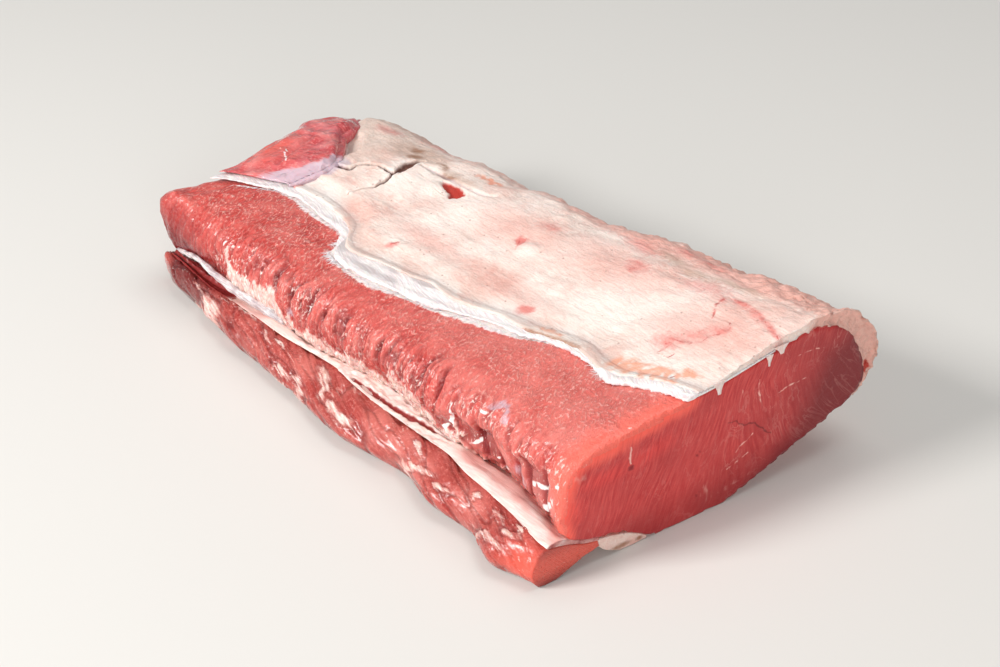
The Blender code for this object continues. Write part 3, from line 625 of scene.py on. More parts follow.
def lean_material(name, colours, roughness=0.34, coat=0.5, see_through=0.35):
    """Raw veal muscle: moist pinkish red fibres, deep red painted shade in the grooves, with a few pale
    flecks and painted glints.
    """
    material, tree, shader = start_material(name, roughness, coat, see_through, 0.0024)
    grain = add_node(tree, "ShaderNodeAttribute", attribute_name="grain")
    place = add_node(tree, "ShaderNodeTexCoord")
    # Fibre bundles of veal are about a millimetre wide and show as faint lines.
    drawn = add_node(tree, "ShaderNodeMapping", {0: grain.outputs["Vector"], "Scale": (0.9, 0.12, 0.3)})
    fibre = add_node(tree, "ShaderNodeTexNoise", {
        0: drawn.outputs[0], "Scale": 1.0, "Detail": 4.0, "Roughness": 0.6, "Distortion": 0.6})
    broad = add_node(tree, "ShaderNodeTexNoise", {
        0: place.outputs["Object"], "Scale": 85.0, "Detail": 3.0, "Roughness": 0.55})
    fine = add_node(tree, "ShaderNodeTexNoise", {
        0: place.outputs["Object"], "Scale": 640.0, "Detail": 3.0, "Roughness": 0.6})
    last = laid_by_noise(tree, linear(colours["deep"]), linear(colours["light"]), fibre, 0.3, 0.72)
    last = laid_by_noise(tree, last.outputs[2], linear(colours["rosy"]), broad, 0.42, 0.7, 0.7)
    # Painted highlights: pale specks of about a millimetre, where the grain of the meat's surface catches the
    # light.
    last = laid_by_noise(tree, last.outputs[2], linear(colours["pale"]), fine, 0.5, 0.7, 0.5)
    # Torn fibre ends stand up on the bared top and show as pale strokes about a millimetre wide.
    short = add_node(tree, "ShaderNodeMapping", {
        0: grain.outputs["Vector"], "Scale": (0.85, 4.2, 3.0),
        "Rotation": (0.0, 0.0, 0.5)}, vector_type="TEXTURE")
    stroke = add_node(tree, "ShaderNodeTexNoise", {
        0: short.outputs[0], "Scale": 1.0, "Detail": 3.0, "Roughness": 0.6, "Distortion": 0.25})
    torn_ends_and_glints = add_node(tree, "ShaderNodeAttribute", attribute_name="torn_ends_and_glints")
    tuft = add_node(tree, "ShaderNodeMapRange", {0: stroke.outputs[0], 1: 0.52, 2: 0.68, 4: 0.8}, **SMOOTH)
    ends = add_node(
        tree, "ShaderNodeMath", {0: tuft.outputs[0], 1: torn_ends_and_glints.outputs["Fac"]}, operation="MULTIPLY"
    )
    last = add_node(
        tree, "ShaderNodeMix", {0: ends.outputs[0], 6: last.outputs[2], 7: linear("#F7BDB2")}, **RGBA
    )
    # Paler areas, partly painted highlights, deep red painted shade in the grooves and hollows, and a painted
    # glow where light shines through.
    layers = (("pale", "pale", 0.85), ("hollow", "groove", 0.9), ("painted_glow", "painted_glow", 1.0))
    for label, shade, most in layers:
        zone = add_node(tree, "ShaderNodeAttribute", attribute_name=label)
        shown = add_node(tree, "ShaderNodeMath", {0: zone.outputs["Fac"], 1: most}, operation="MULTIPLY")
        last = add_node(
            tree, "ShaderNodeMix", {0: shown.outputs[0], 6: last.outputs[2], 7: linear(colours[shade])},
            **RGBA
        )
    # Painted glints: whitish specks on the bared top and on the crowns of the bundles.
    glint = add_node(tree, "ShaderNodeMapRange", {0: fine.outputs[0], 1: 0.56, 2: 0.68, 4: 0.5}, **SMOOTH)
    shining = add_node(
        tree, "ShaderNodeMath", {0: glint.outputs[0], 1: torn_ends_and_glints.outputs["Fac"]}, operation="MULTIPLY"
    )
    last = add_node(
        tree, "ShaderNodeMix", {0: shining.outputs[0], 6: last.outputs[2], 7: linear("#FFD6CC")}, **RGBA
    )
    # Flecks of connective tissue and painted glints, under a millimetre wide and drawn out along the fibres.
    sparse = add_node(tree, "ShaderNodeMapping", {
        0: grain.outputs["Vector"], "Scale": (1.0, 0.34, 0.45), "Location": (3.0, 1.0, 2.0)})
    fleck = add_node(tree, "ShaderNodeTexNoise", {
        0: sparse.outputs[0], "Scale": 1.0, "Detail": 4.0, "Roughness": 0.66, "Distortion": 0.6})
    zone = add_node(tree, "ShaderNodeAttribute", attribute_name="flecks")
    lifted = add_node(
        tree, "ShaderNodeMath", {0: zone.outputs["Fac"], 1: 0.14, 2: fleck.outputs[0]},
        operation="MULTIPLY_ADD"
    )
    last = laid_by_noise(tree, last.outputs[2], linear(colours["fleck"]), lifted, 0.66, 0.76, 0.75)
    # Cream deposits and thin membranes thin out raggedly where they end.
    tallow = laid_by_noise(tree, linear(colours["cream"]), linear(colours["cream_light"]), fleck, 0.42, 0.62)
    layers = (
        ("cream", tallow.outputs[2], 1.0, 0.74, 1.45, 0.92),
        ("lilac", linear("#CDB7C3"), 0.9, 0.6, 1.35, 0.9),
        ("veil_and_glints", linear("#FBF1EF"), 0.8, 0.75, 1.15, 0.95),
    )
    for label, shade, torn, low, high, most in layers:
        last = laid_by_zone(tree, last.outputs[2], shade, label, fibre, torn, low, high, most)
    tree.links.new(last.outputs[2], shader.inputs["Base Color"])
    wet = add_node(tree, "ShaderNodeAttribute", attribute_name="wet")
    drier = add_node(
        tree, "ShaderNodeMapRange",
        {0: fine.outputs[0], 1: 0.3, 2: 0.7, 3: roughness - 0.07, 4: roughness + 0.12}
    )
    slick = add_node(
        tree, "ShaderNodeMath", {0: wet.outputs["Fac"], 1: -0.2, 2: drier.outputs[0]},
        operation="MULTIPLY_ADD"
    )
    tree.links.new(slick.outputs[0], shader.inputs["Roughness"])
    film = add_node(tree, "ShaderNodeMapRange", {0: wet.outputs["Fac"], 3: coat, 4: 1.0})
    tree.links.new(film.outputs[0], shader.inputs["Coat Weight"])
    # Juice pools into ripples a few millimetres across, which break the highlights up.
    ripple = add_node(tree, "ShaderNodeTexNoise", {
        0: place.outputs["Object"], "Scale": 170.0, "Detail": 1.5, "Roughness": 0.5, "Distortion": 0.6})
    pooled = add_node(
        tree, "ShaderNodeMath", {0: ripple.outputs[0], 1: wet.outputs["Fac"]}, operation="MULTIPLY"
    )
    calm = add_node(tree, "ShaderNodeMapRange", {0: wet.outputs["Fac"], 3: 1.0, 4: 0.15})
    heights = add_node(
        tree, "ShaderNodeMath", {0: fibre.outputs[0], 1: 0.7, 2: fine.outputs[0]}, operation="MULTIPLY_ADD"
    )
    heights = add_node(
        tree, "ShaderNodeMath", {0: heights.outputs[0], 1: calm.outputs[0]}, operation="MULTIPLY"
    )
    heights = add_node(
        tree, "ShaderNodeMath", {0: pooled.outputs[0], 1: 1.9, 2: heights.outputs[0]},
        operation="MULTIPLY_ADD"
    )
    heights = add_node(
        tree, "ShaderNodeMath", {0: ends.outputs[0], 1: 0.5, 2: heights.outputs[0]},
        operation="MULTIPLY_ADD"
    )
    bump = add_node(
        tree, "ShaderNodeBump", {"Strength": 0.9, "Distance": 0.001, "Height": heights.outputs[0]}
    )
    tree.links.new(bump.outputs[0], shader.inputs["Normal"])
    return material


def cut_material(colours):
    """Lean across the knife cut: smooth and moist, with faint lines of fibres and fine pale marbling."""
    material, tree, shader = start_material("veal_knife_cut", 0.36, 0.12, 0.3, 0.0022)
    grain = add_node(tree, "ShaderNodeAttribute", attribute_name="slant")
    place = add_node(tree, "ShaderNodeTexCoord")
    drawn = add_node(tree, "ShaderNodeMapping", {0: grain.outputs["Vector"], "Scale": (1.0, 0.1, 0.2)})
    fibre = add_node(tree, "ShaderNodeTexNoise", {
        0: drawn.outputs[0], "Scale": 1.0, "Detail": 4.0, "Roughness": 0.62, "Distortion": 0.5})
    broad = add_node(tree, "ShaderNodeTexNoise", {
        0: place.outputs["Object"], "Scale": 60.0, "Detail": 3.0, "Roughness": 0.5})
    fine = add_node(tree, "ShaderNodeTexNoise", {
        0: place.outputs["Object"], "Scale": 560.0, "Detail": 3.0, "Roughness": 0.6})
    last = laid_by_noise(tree, linear(colours["deep"]), linear(colours["light"]), fibre, 0.3, 0.72)
    last = laid_by_noise(tree, last.outputs[2], linear(colours["rosy"]), broad, 0.42, 0.66, 0.5)
    # Darker crimson towards the right and the bottom, partly the lean's own colour and partly painted shade.
    dark = add_node(tree, "ShaderNodeAttribute", attribute_name="deep")
    last = add_node(
        tree, "ShaderNodeMix", {0: dark.outputs["Fac"], 6: last.outputs[2], 7: linear(colours["crimson_and_shade"])},
        **RGBA
    )
    # Marbling: thin lines along the fibres, where stretched noise crosses its middle value.
    wander = add_node(tree, "ShaderNodeMapping", {
        0: grain.outputs["Vector"], "Scale": (0.17, 0.06, 0.1), "Location": (5.0, 2.0, 0.0)})
    vein = add_node(tree, "ShaderNodeTexNoise", {
        0: wander.outputs[0], "Scale": 1.0, "Detail": 4.0, "Roughness": 0.62, "Distortion": 0.7})
    middle = add_node(tree, "ShaderNodeMath", {0: vein.outputs[0], 1: 0.5}, operation="SUBTRACT")
    away = add_node(tree, "ShaderNodeMath", {0: middle.outputs[0]}, operation="ABSOLUTE")
    thin = add_node(
        tree, "ShaderNodeMapRange", {0: away.outputs[0], 1: 0.035, 2: 0.0, 3: 0.0, 4: 0.34}, **SMOOTH
    )
    zone = add_node(tree, "ShaderNodeAttribute", attribute_name="flecks")
    veins = add_node(
        tree, "ShaderNodeMath", {0: thin.outputs[0], 1: zone.outputs["Fac"]}, operation="MULTIPLY"
    )
    last = add_node(
        tree, "ShaderNodeMix", {0: veins.outputs[0], 6: last.outputs[2], 7: linear(colours["fleck"])},
        **RGBA
    )
    # A painted glow at the rim where light shines through, bright red embers, pale veils and veins, and blood
    # spots.
    layers = (("painted_glow", colours["painted_glow"]), ("ember", "#F23B37"), ("veil_and_glints", "#F5C4B8"), ("blood", "#8E0F1C"))
    for label, shade in layers:
        last = laid_by_zone(tree, last.outputs[2], linear(shade), label, fibre, 0.55, 0.35, 1.3)
    tree.links.new(last.outputs[2], shader.inputs["Base Color"])
    drier = add_node(tree, "ShaderNodeMapRange", {0: fine.outputs[0], 1: 0.3, 2: 0.7, 3: 0.28, 4: 0.44})
    tree.links.new(drier.outputs[0], shader.inputs["Roughness"])
    heights = add_node(
        tree, "ShaderNodeMath", {0: fibre.outputs[0], 1: 1.2, 2: fine.outputs[0]}, operation="MULTIPLY_ADD"
    )
    bump = add_node(
        tree, "ShaderNodeBump", {"Strength": 0.28, "Distance": 0.0005, "Height": heights.outputs[0]}
    )
    tree.links.new(bump.outputs[0], shader.inputs["Normal"])
    return material


def fat_material(name="veal_fat"):
    """Firm cream fat: satin and slightly clear, mottled with pink, with fine pores and a few stains."""
    material, tree, shader = start_material(name, 0.46, 0.2, 0.35, 0.003)
    shader.inputs["Subsurface Radius"].default_value = (1.0, 0.72, 0.6)
    place = add_node(tree, "ShaderNodeTexCoord")
    broad = add_node(tree, "ShaderNodeTexNoise", {
        0: place.outputs["Object"], "Scale": 52.0, "Detail": 5.0, "Roughness": 0.62, "Distortion": 0.5})
    middling = add_node(tree, "ShaderNodeTexNoise", {
        0: place.outputs["Object"], "Scale": 170.0, "Detail": 4.0, "Roughness": 0.6, "Distortion": 0.3})
    fine = add_node(tree, "ShaderNodeTexNoise", {
        0: place.outputs["Object"], "Scale": 480.0, "Detail": 4.0, "Roughness": 0.65})
    # Threads of membrane run along the loin, about a millimetre and a half apart.
    drawn = add_node(tree, "ShaderNodeMapping", {
        0: place.outputs["Object"], "Scale": (95.0, 480.0, 480.0), "Rotation": (0.0, 0.0, 0.1)})
    thread = add_node(tree, "ShaderNodeTexNoise", {
        0: drawn.outputs[0], "Scale": 1.0, "Detail": 4.0, "Roughness": 0.6, "Distortion": 0.8})
    last = laid_by_noise(tree, linear("#E2BFB4"), linear("#EDD8CE"), broad, 0.38, 0.6)
    last = laid_by_noise(tree, last.outputs[2], linear("#DFAEA2"), middling, 0.5, 0.72, 0.6)
    last = laid_by_noise(tree, last.outputs[2], linear("#F8EEE7"), thread, 0.5, 0.74, 0.55)
    layers = (
        ("pale", "#F6E8E0", 0.8), ("blush", "#E4A598", 0.7), ("grey", "#C4A594", 0.7),
        ("peach", "#F2A083", 0.85), ("pink", "#D9766F", 0.85), ("brown", "#94603F", 0.9),
        ("thread", "#BC4A47", 0.75), ("lilac", "#C9B6C0", 0.8), ("rind", "#E2AC9E", 0.85),
        ("flesh", "#B83A2E", 1.0), ("crack", "#63301F", 0.95),
    )
    for label, shade, most in layers:
        last = laid_by_zone(tree, last.outputs[2], linear(shade), label, fine, 0.55, 0.38, 1.15, most)
    # Pores: dots of about half a millimetre, a few to each square centimetre.
    cells = add_node(
        tree, "ShaderNodeTexVoronoi", {0: place.outputs["Object"], "Scale": 290.0, "Randomness": 1.0}
    )
    dot = add_node(
        tree, "ShaderNodeMapRange", {0: cells.outputs["Distance"], 1: 0.2, 2: 0.08, 3: 0.0, 4: 1.0},
        **SMOOTH
    )
    chance = add_node(tree, "ShaderNodeSeparateColor", {0: cells.outputs["Color"]})
    few = add_node(tree, "ShaderNodeMath", {0: chance.outputs[0], 1: 0.8}, operation="GREATER_THAN")
    pore = add_node(tree, "ShaderNodeMath", {0: dot.outputs[0], 1: few.outputs[0]}, operation="MULTIPLY")
    faint = add_node(tree, "ShaderNodeMath", {0: pore.outputs[0], 1: 0.6}, operation="MULTIPLY")
    last = add_node(
        tree, "ShaderNodeMix", {0: faint.outputs[0], 6: last.outputs[2], 7: linear("#A57B6E")}, **RGBA
    )
    tree.links.new(last.outputs[2], shader.inputs["Base Color"])
    dull = add_node(tree, "ShaderNodeMapRange", {0: fine.outputs[0], 1: 0.3, 2: 0.7, 3: 0.36, 4: 0.58})
    tree.links.new(dull.outputs[0], shader.inputs["Roughness"])
    heights = add_node(
        tree, "ShaderNodeMath", {0: thread.outputs[0], 1: 1.2, 2: fine.outputs[0]}, operation="MULTIPLY_ADD"
    )
    heights = add_node(
        tree, "ShaderNodeMath", {0: middling.outputs[0], 1: 1.4, 2: heights.outputs[0]},
        operation="MULTIPLY_ADD"
    )
    bump = add_node(
        tree, "ShaderNodeBump", {"Strength": 0.6, "Distance": 0.0008, "Height": heights.outputs[0]}
    )
    tree.links.new(bump.outputs[0], shader.inputs["Normal"])
    return material


def membrane_material(name, white, shade, stain, flesh="#C8565A", roughness=0.3, relief=0.6):
    """Silverskin and tendon: tight white fibres side by side, glossy, greyer where they are thin."""
    material, tree, shader = start_material(name, roughness, 0.35, 0.25, 0.0015)
    grain = add_node(tree, "ShaderNodeAttribute", attribute_name="grain")
    place = add_node(tree, "ShaderNodeTexCoord")
    drawn = add_node(tree, "ShaderNodeMapping", {0: grain.outputs["Vector"], "Scale": (1.3, 0.14, 0.5)})
    fibre = add_node(tree, "ShaderNodeTexNoise", {
        0: drawn.outputs[0], "Scale": 1.0, "Detail": 5.0, "Roughness": 0.62, "Distortion": 0.2})
    broad = add_node(tree, "ShaderNodeTexNoise", {
        0: place.outputs["Object"], "Scale": 190.0, "Detail": 4.0, "Roughness": 0.62, "Distortion": 0.3})
    fine = add_node(tree, "ShaderNodeTexNoise", {
        0: place.outputs["Object"], "Scale": 700.0, "Detail": 3.0, "Roughness": 0.6})
    last = laid_by_noise(tree, linear(shade), linear(white), fibre, 0.34, 0.62)
    for label, colour in (("thin", stain), ("flesh", flesh)):
        last = laid_by_zone(tree, last.outputs[2], linear(colour), label, broad, 0.8, 0.55, 1.25)
    tree.links.new(last.outputs[2], shader.inputs["Base Color"])
    heights = add_node(
        tree, "ShaderNodeMath", {0: fibre.outputs[0], 1: 2.0, 2: fine.outputs[0]}, operation="MULTIPLY_ADD"
    )
    bump = add_node(
        tree, "ShaderNodeBump", {"Strength": relief, "Distance": 0.0005, "Height": heights.outputs[0]}
    )
    tree.links.new(bump.outputs[0], shader.inputs["Normal"])
    return material


# ---------------------------------------------------------------- what a user would change

class VealLoinSettings(bpy.types.PropertyGroup):
    """Sizes and strengths of the loin's modelling."""

    eye_grain: FloatProperty(
        name="Eye mesh", description="Size of the quads on the eye's covered parts, in millimetres",
        default=2.55, min=1.5, max=4.0,
    )
    bundle_depth: FloatProperty(
        name="Bundle depth", description="Depth of the grooves between the muscle bundles, in millimetres",
        default=1.5, min=0.0, max=5.0,
    )
    finger_depth: FloatProperty(
        name="Finger depth",
        description="Depth of the grooves in the wet hollow near the cut, in millimetres",
        default=2.6, min=0.0, max=5.0,
    )
    crack_depth: FloatProperty(
        name="Crack depth", description="Depth of the cracks in the fat, in millimetres",
        default=2.6, min=0.0, max=4.0,
    )
    floor_colour: FloatVectorProperty(
        name="Floor", description="Colour of the floor", subtype="COLOR", size=4, min=0.0, max=1.0,
        default=linear("#D9D7D3"),
    )


LEAN = {
    "deep": "#B0302C", "light": "#D8564E", "rosy": "#DB645C", "groove": "#76121A", "fleck": "#FBE0D8",
    "pale": "#EE8D83", "cream": "#ECC8BC", "cream_light": "#FDEFE8", "painted_glow": "#F8705F",
}
RUMP_LEAN = dict(
    LEAN, deep="#BA3E44", light="#DC6A6A", rosy="#D2646C", groove="#8E2638", pale="#EFA5A0", painted_glow="#E0685C"
)
STRIP_LEAN = dict(
    LEAN, deep="#9E2F2A", light="#BE5A52", rosy="#BC5C54", groove="#5E1518", pale="#DE8278", painted_glow="#E8604E"
)
CUT_LEAN = {
    "deep": "#B82429", "light": "#D44E4A", "rosy": "#C84341", "crimson_and_shade": "#7C141B", "fleck": "#F0B0A6",
    "painted_glow": "#FF6858",
}


# ---------------------------------------------------------------- operators, one for each piece

class VEALLOIN_OT_lean_eye(bpy.types.Operator):
    """Model the lean eye: muscle bundles on the boned side, the wet hollow and the knife cut"""

    bl_idname = "veal_loin.lean_eye"
    bl_label = "Lean Eye"

    def execute(self, context):
        sizes = context.scene.veal_loin
        piece = copy_of("loin_eye", "lean_eye")
        remesh(piece, sizes.eye_grain)
        p, n = points_of(piece), normals_of(piece)
        flush = (behind_cut(p) < 1.6) & (n @ CUT_OUT > 0.35)
        p[flush] += behind_cut(p)[flush, None] * CUT_OUT
        move_to(piece, p)
        rim_line = as_path(GLOWING_RIM)
        soft_rim = np.hypot(line_reach(p[:, 1:], rim_line), behind_cut(p))
        softness = np.maximum(eased(behind_cut(p), 1.0, 4.0), faded(soft_rim, 2.0, 5.0))
        relax(piece, softness, 5)
        c = centres_of(piece)
        bare = (c[:, 1] < along(TORN_EDGE, c[:, 0]) + 4.0) & (c[:, 2] > 13.0)
        refine(piece, bare & (behind_cut(c) > 1.0), 3)
        c = centres_of(piece)
        refine(piece, behind_cut(c) < 1.0, 1)
        c = centres_of(piece)
        near = np.zeros(len(c), bool)
        for line in VEINS + (CUT_SPLIT,):
            near |= line_reach(c[:, 1:], as_path(line)) < 1.8
        refine(piece, near & (behind_cut(c) < 0.6), 2)
        p = points_of(piece)
        soft_rim = np.hypot(line_reach(p[:, 1:], rim_line), behind_cut(p))
        relax(piece, np.maximum(eased(behind_cut(p), 1.0, 4.0), faded(soft_rim, 2.0, 5.0)), 14)

        p, n = points_of(piece), normals_of(piece)
        x, y, z = p.T
        s = up_the_side(p)
        calm = eased(behind_cut(p), 0.5, 5.0)
        side = faded(y, -44.0, -28.0) * eased(z, 13.0, 18.0) * calm
        bare = faded(y - along(TORN_EDGE, x), 0.0, 3.0) * eased(z, 13.0, 18.0)
        reach = 37.0 + 9.0 * noise(columns(x, x * 0.0, x * 0.0), 13.0, 16)
        low = side * faded(s, reach - 10.0, reach + 9.0)

        across = x - 0.10 * (z - 35.0) + 3.6 * noise(p, 20.0, 1) + 1.4 * noise(p, 7.0, 2)
        crown = bundles(across, SIDE_GROOVES, 6.0)
        lively = 0.85 + 0.5 * noise(p, 19.0, 3)
        strength = along(
            ((-150, 0.1), (-122, 0.25), (-96, 0.6), (-66, 1.0), (60, 1.1), (104, 0.7), (136, 0.2)), x
        )
        fingers = eased(x, 44.0, 74.0) * faded(x, 124.0, 137.0) * faded(z, 36.0, 47.0) * side
        leaning = x + 0.06 * (z - 30.0) + 2.4 * noise(p, 15.0, 4) + 0.9 * noise(p, 6.0, 17)
        finger = bundles(leaning, FINGER_GROOVES, 4.0)

        grain = columns(x + 0.10 * (35.0 - z), s, np.zeros(len(x)))
        grain[:, 0] += 1.6 * noise(p, 11.0, 5)
        split = np.exp(-(noise(grain, (7.0, 30.0, 9.0), 6) / 0.10) ** 2)
        nick = np.exp(-(noise(grain, (3.0, 13.0, 9.0), 18) / 0.10) ** 2)
        strands = noise(grain, (2.4, 14.0, 9.0), 7)
        cords = 1.0 - 2.2 * np.abs(noise(grain, (3.2, 20.0, 9.0), 30))
        threads = noise(grain, (1.3, 6.0, 5.0), 19)
        plain = 1.0 - fingers
        rise = low * plain * strength * (
            lively * sizes.bundle_depth * (crown - 0.8) - 1.2 * split - 0.6 * nick
        )
        rise += low * plain * (
            1.1 * noise(p, (11.0, 16.0, 16.0), 20) + 0.5 * strands + 0.3 * threads + 0.5 * (cords - 0.6)
        )
        rise += low * plain * 0.25 * noise(p, 2.0, 31)
        rise += fingers * (
            sizes.finger_depth * (finger - 0.8) * lively - 1.6 * eased(fingers, 0.3, 1.0) - 0.5 * split
        )
        xz = p[:, [0, 2]] + 1.2 * columns(noise(p, 8.0, 34), noise(p, 8.0, 35))
        dips = marks_at(xz, DIPS, 0.7)
        rise += fingers * (0.7 * noise(p, (8.0, 9.0, 9.0), 24) + 0.12 * noise(p, 3.2, 32))
        rise += fingers * (1.8 * marks_at(xz, LOBES, 0.8) - 1.6 * dips)
        rise -= 1.2 * low * faded(s, 2.0, 16.0) * strength
        velvet = bare * calm * (1.0 - low)
        tufts = 0.28 * (1.0 - 0.7 * eased(x, 20.0, 60.0))
        rise += velvet * (
            tufts * noise(grain, (1.7, 3.4, 4.0), 9) + 0.13 * noise(p, 1.9, 8) + 0.7 * noise(p, 15.0, 10)
        )
        rise += velvet * (0.35 * noise(p, 5.0, 21) - 0.7 * split * faded(s, 40.0, 56.0))

        foot = side * faded(y, -58.0, -50.0) * eased(behind_cut(p), 2.0, 6.0) * eased(x, -150.0, -130.0)
        torn = 2.6 * noise(p, 5.0, 11) + 1.6 * noise(p, 2.2, 12)
        cream = foot * eased(along(CRUMBS_UP_TO, x + 1.2 * torn) - z + 1.1 * torn, -2.0, 2.4)
        patch = faded(line_reach(xz, CREAM_BY_TENDON) - 0.14 * torn, 0.5, 1.4)
        cream = np.maximum(cream, patch * foot)
        crumbly = eased(x, -56.0, -40.0) * faded(x, 62.0, 74.0)
        turned = columns(0.83 * x + 0.56 * z, y + 0.31 * x, 0.83 * z - 0.56 * x)
        lumps = 0.8 * noise(turned, 3.4, 22) + 0.5 * noise(turned, (1.6, 2.0, 2.4), 23)
        rise = rise * (1.0 - 0.6 * cream) + cream * (0.7 + lumps * (0.5 + 0.75 * crumbly))
        covered = eased(y, 30.0, 45.0) + 0.7 * faded(x, -146.0, -138.0) * eased(y, -40.0, -34.0)
        rise += 1.4 * np.clip(covered, 0.0, 1.0) * eased(n[:, 1] + n[:, 2], -0.2, 0.4)
        moved = p + n * rise[:, None]
        corner = np.exp(-(np.linalg.norm(p - (-147.0, -67.0, 42.0), axis=1) / 9.0) ** 2)
        moved += corner[:, None] * (-3.0, -2.2, 3.0)
        ridge = (
            np.exp(-(((x + 140.0) / 9.0) ** 2)) * np.exp(-(((s - 32.0) / 4.0) ** 2))
            * faded(y, -44.0, -36.0)
        )
        moved += ridge[:, None] * (0.0, -1.2, 1.6)
        move_to(piece, stay_flat(p, moved))

        slant = columns(0.96 * y - 0.28 * z + 2.5 * noise(p, 24.0, 12), 0.28 * y + 0.96 * z, x * 0.0)
        cut = faded(behind_cut(p), 0.2, 1.2)
        slant[:, 0] -= 0.011 * np.maximum(y + 10.0, 0.0) * np.maximum(52.0 - z, 0.0)
        paint(piece, "grain", grain)
        paint(piece, "slant", slant)
        # Painted shade: deep red in the grooves, splits and nicks between the bundles, between the fingers
        # and in the dips of the wet hollow, along the foot of the boned side and over its far end.
        painted_shade = low * plain * strength * (
            0.7 * (1.0 - crown) + 0.6 * split + 0.35 * nick + 0.25 * eased(0.35 - cords, 0.0, 0.9)
        )
        painted_shade += fingers * (0.75 * (1.0 - finger) + 0.12 * split + 0.7 * dips)
        painted_shade += 0.45 * low * faded(s, 3.0, 18.0)
        far_end_shade = faded(x, -132.0, -100.0) * faded(s, 12.0, 34.0) * eased(-y, 46.0, 58.0)
        paint(piece, "hollow", np.clip(painted_shade + 0.75 * far_end_shade, 0.0, 1.0) * (1.0 - cream))
        glints_and_spots = marks_at(xz + 0.45 * torn[:, None] * (1.0, 0.6), WHITE_GLINTS_AND_SPOTS, 0.6) * side
        paint(piece, "cream", cream * (0.8 + 0.35 * noise(p, (2.2, 4.0, 4.0), 25)))
        # Painted glow along the rim of the cut face, where light shines through the lean.
        rim = np.hypot(line_reach(p[:, 1:], rim_line), np.maximum(behind_cut(p), 0.0) * 0.8)
        painted_glow = faded(rim + 2.6 * noise(p, 9.0, 13), 1.5, 11.0)
        paint(piece, "painted_glow", painted_glow * 0.8)
        paint(piece, "ember", 0.4 * cut * marks_at(p[:, 1:], EMBERS, 0.9))
        # Torn fibre ends and painted glints, on the bared top and on the crowns of the bundles.
        tufted = np.maximum(velvet, 0.5 * low * plain * crown * eased(x, -96.0, -70.0))
        paint(piece, "torn_ends_and_glints", tufted * np.clip(0.75 + 0.7 * noise(p, 16.0, 33), 0.2, 1.0) * (1.0 - painted_glow))
        # Paler on the bare top towards the cut, with painted highlights on the crowns of the bundles and of
        # the fingers.
        light = along(((-150, 0.0), (-60, 0.1), (20, 0.35), (70, 0.75), (136, 0.85)), x) * (1.0 - low) * (
            1.0 - cut
        )
        light += (
            eased(x, -100.0, -50.0) * 0.6 * low * crown * plain * eased(s, 8.0, 30.0)
            * np.clip(0.6 + 1.4 * strands, 0.0, 1.0)
        )
        light = light * (1.0 - 0.3 * velvet) + 0.6 * fingers * eased(finger, 0.6, 1.0)
        paint_share(piece, "pale", light + 0.35 * noise(p, 12.0, 26))
        # Pale flecks on the boned side: wisps of connective tissue and painted glints.
        wisps_and_glints = low * (1.0 - 0.6 * fingers) * (0.5 + 0.5 * (1.0 - crown) + 0.9 * noise(p, 12.0, 14)) * (
            1.0 - far_end_shade
        )
        on_cut = 0.12 + 0.15 * eased(y + 0.9 * z, 30.0, 90.0) + 0.5 * noise(p, 11.0, 27)
        paint_share(piece, "flecks", np.where(behind_cut(p) < 0.9, on_cut, wisps_and_glints + 0.15 - 0.3 * far_end_shade))
        paint_share(piece, "wet", fingers + 0.35 * low + 0.3 * cream)
        paint(piece, "lilac", 0.65 * marks_at(xz + torn[:, None] * 0.5, LILAC_ON_SIDE, 0.6) * side)
        frayed = eased(z, 38.0, 44.0) * eased(behind_cut(p), 0.5, 2.0) * eased(x, -116.0, -104.0)
        past = along(TORN_EDGE, x) - y + 1.0 * noise(p, 3.0, 28)
        veins, gash = np.zeros(len(x)), faded(line_reach(p[:, 1:] + 0.3 * torn[:, None], CUT_SPLIT), 0.6, 1.8)
        for line in VEINS:
            veins = np.maximum(veins, faded(line_reach(p[:, 1:] + 0.25 * torn[:, None], line), 0.5, 2.0))
        veins *= np.clip(0.5 + 0.9 * noise(p, 2.2, 36), 0.0, 0.8)
        blotches = 0.6 * marks_at(p[:, 1:] + 0.5 * torn[:, None], PALE_BLOTCHES, 0.9)
        veins = np.maximum(veins, blotches * np.clip(0.4 + 1.2 * noise(p, (4.0, 1.6, 4.0), 37), 0.0, 1.0))
        # Veil: the frayed edge of the backstrap, pale veins and blotches on the cut face, and the painted
        # white glints.
        paint(
            piece, "veil_and_glints",
            np.maximum(
                np.maximum(frayed * faded(past, -1.5, 2.6), veins * cut),
                0.95 * glints_and_spots * np.clip(0.8 + 0.6 * torn, 0.0, 1.0)
            )
        )
        # Darker towards the right and the bottom of the cut face, partly the lean's own colour and partly
        # painted shade, and dark along the split.
        deep = (
            0.55 * eased(y - 0.5 * z, -20.0, 60.0) + 0.5 * eased(y - 0.6 * z, 14.0, 50.0)
            + 0.4 * faded(z, 4.0, 24.0)
        )
        deep += 0.15 * eased(y, 40.0, 66.0) * faded(z, 40.0, 60.0)
        paint(piece, "deep", np.clip(deep + 0.2 * noise(p, 14.0, 15) + 0.8 * gash * cut, 0.0, 0.95))
        paint(piece, "blood", marks_at(p[:, 1:], BLOOD_SPOTS))

        piece.data.materials.append(lean_material("veal_boned_side", LEAN))
        piece.data.materials.append(cut_material(CUT_LEAN))
        c = centres_of(piece)
        piece.data.polygons.foreach_set("material_index", (behind_cut(c) < ON_CUT).astype(np.int32))
        settle(piece, "lean", "loin_eye")
        return {"FINISHED"}


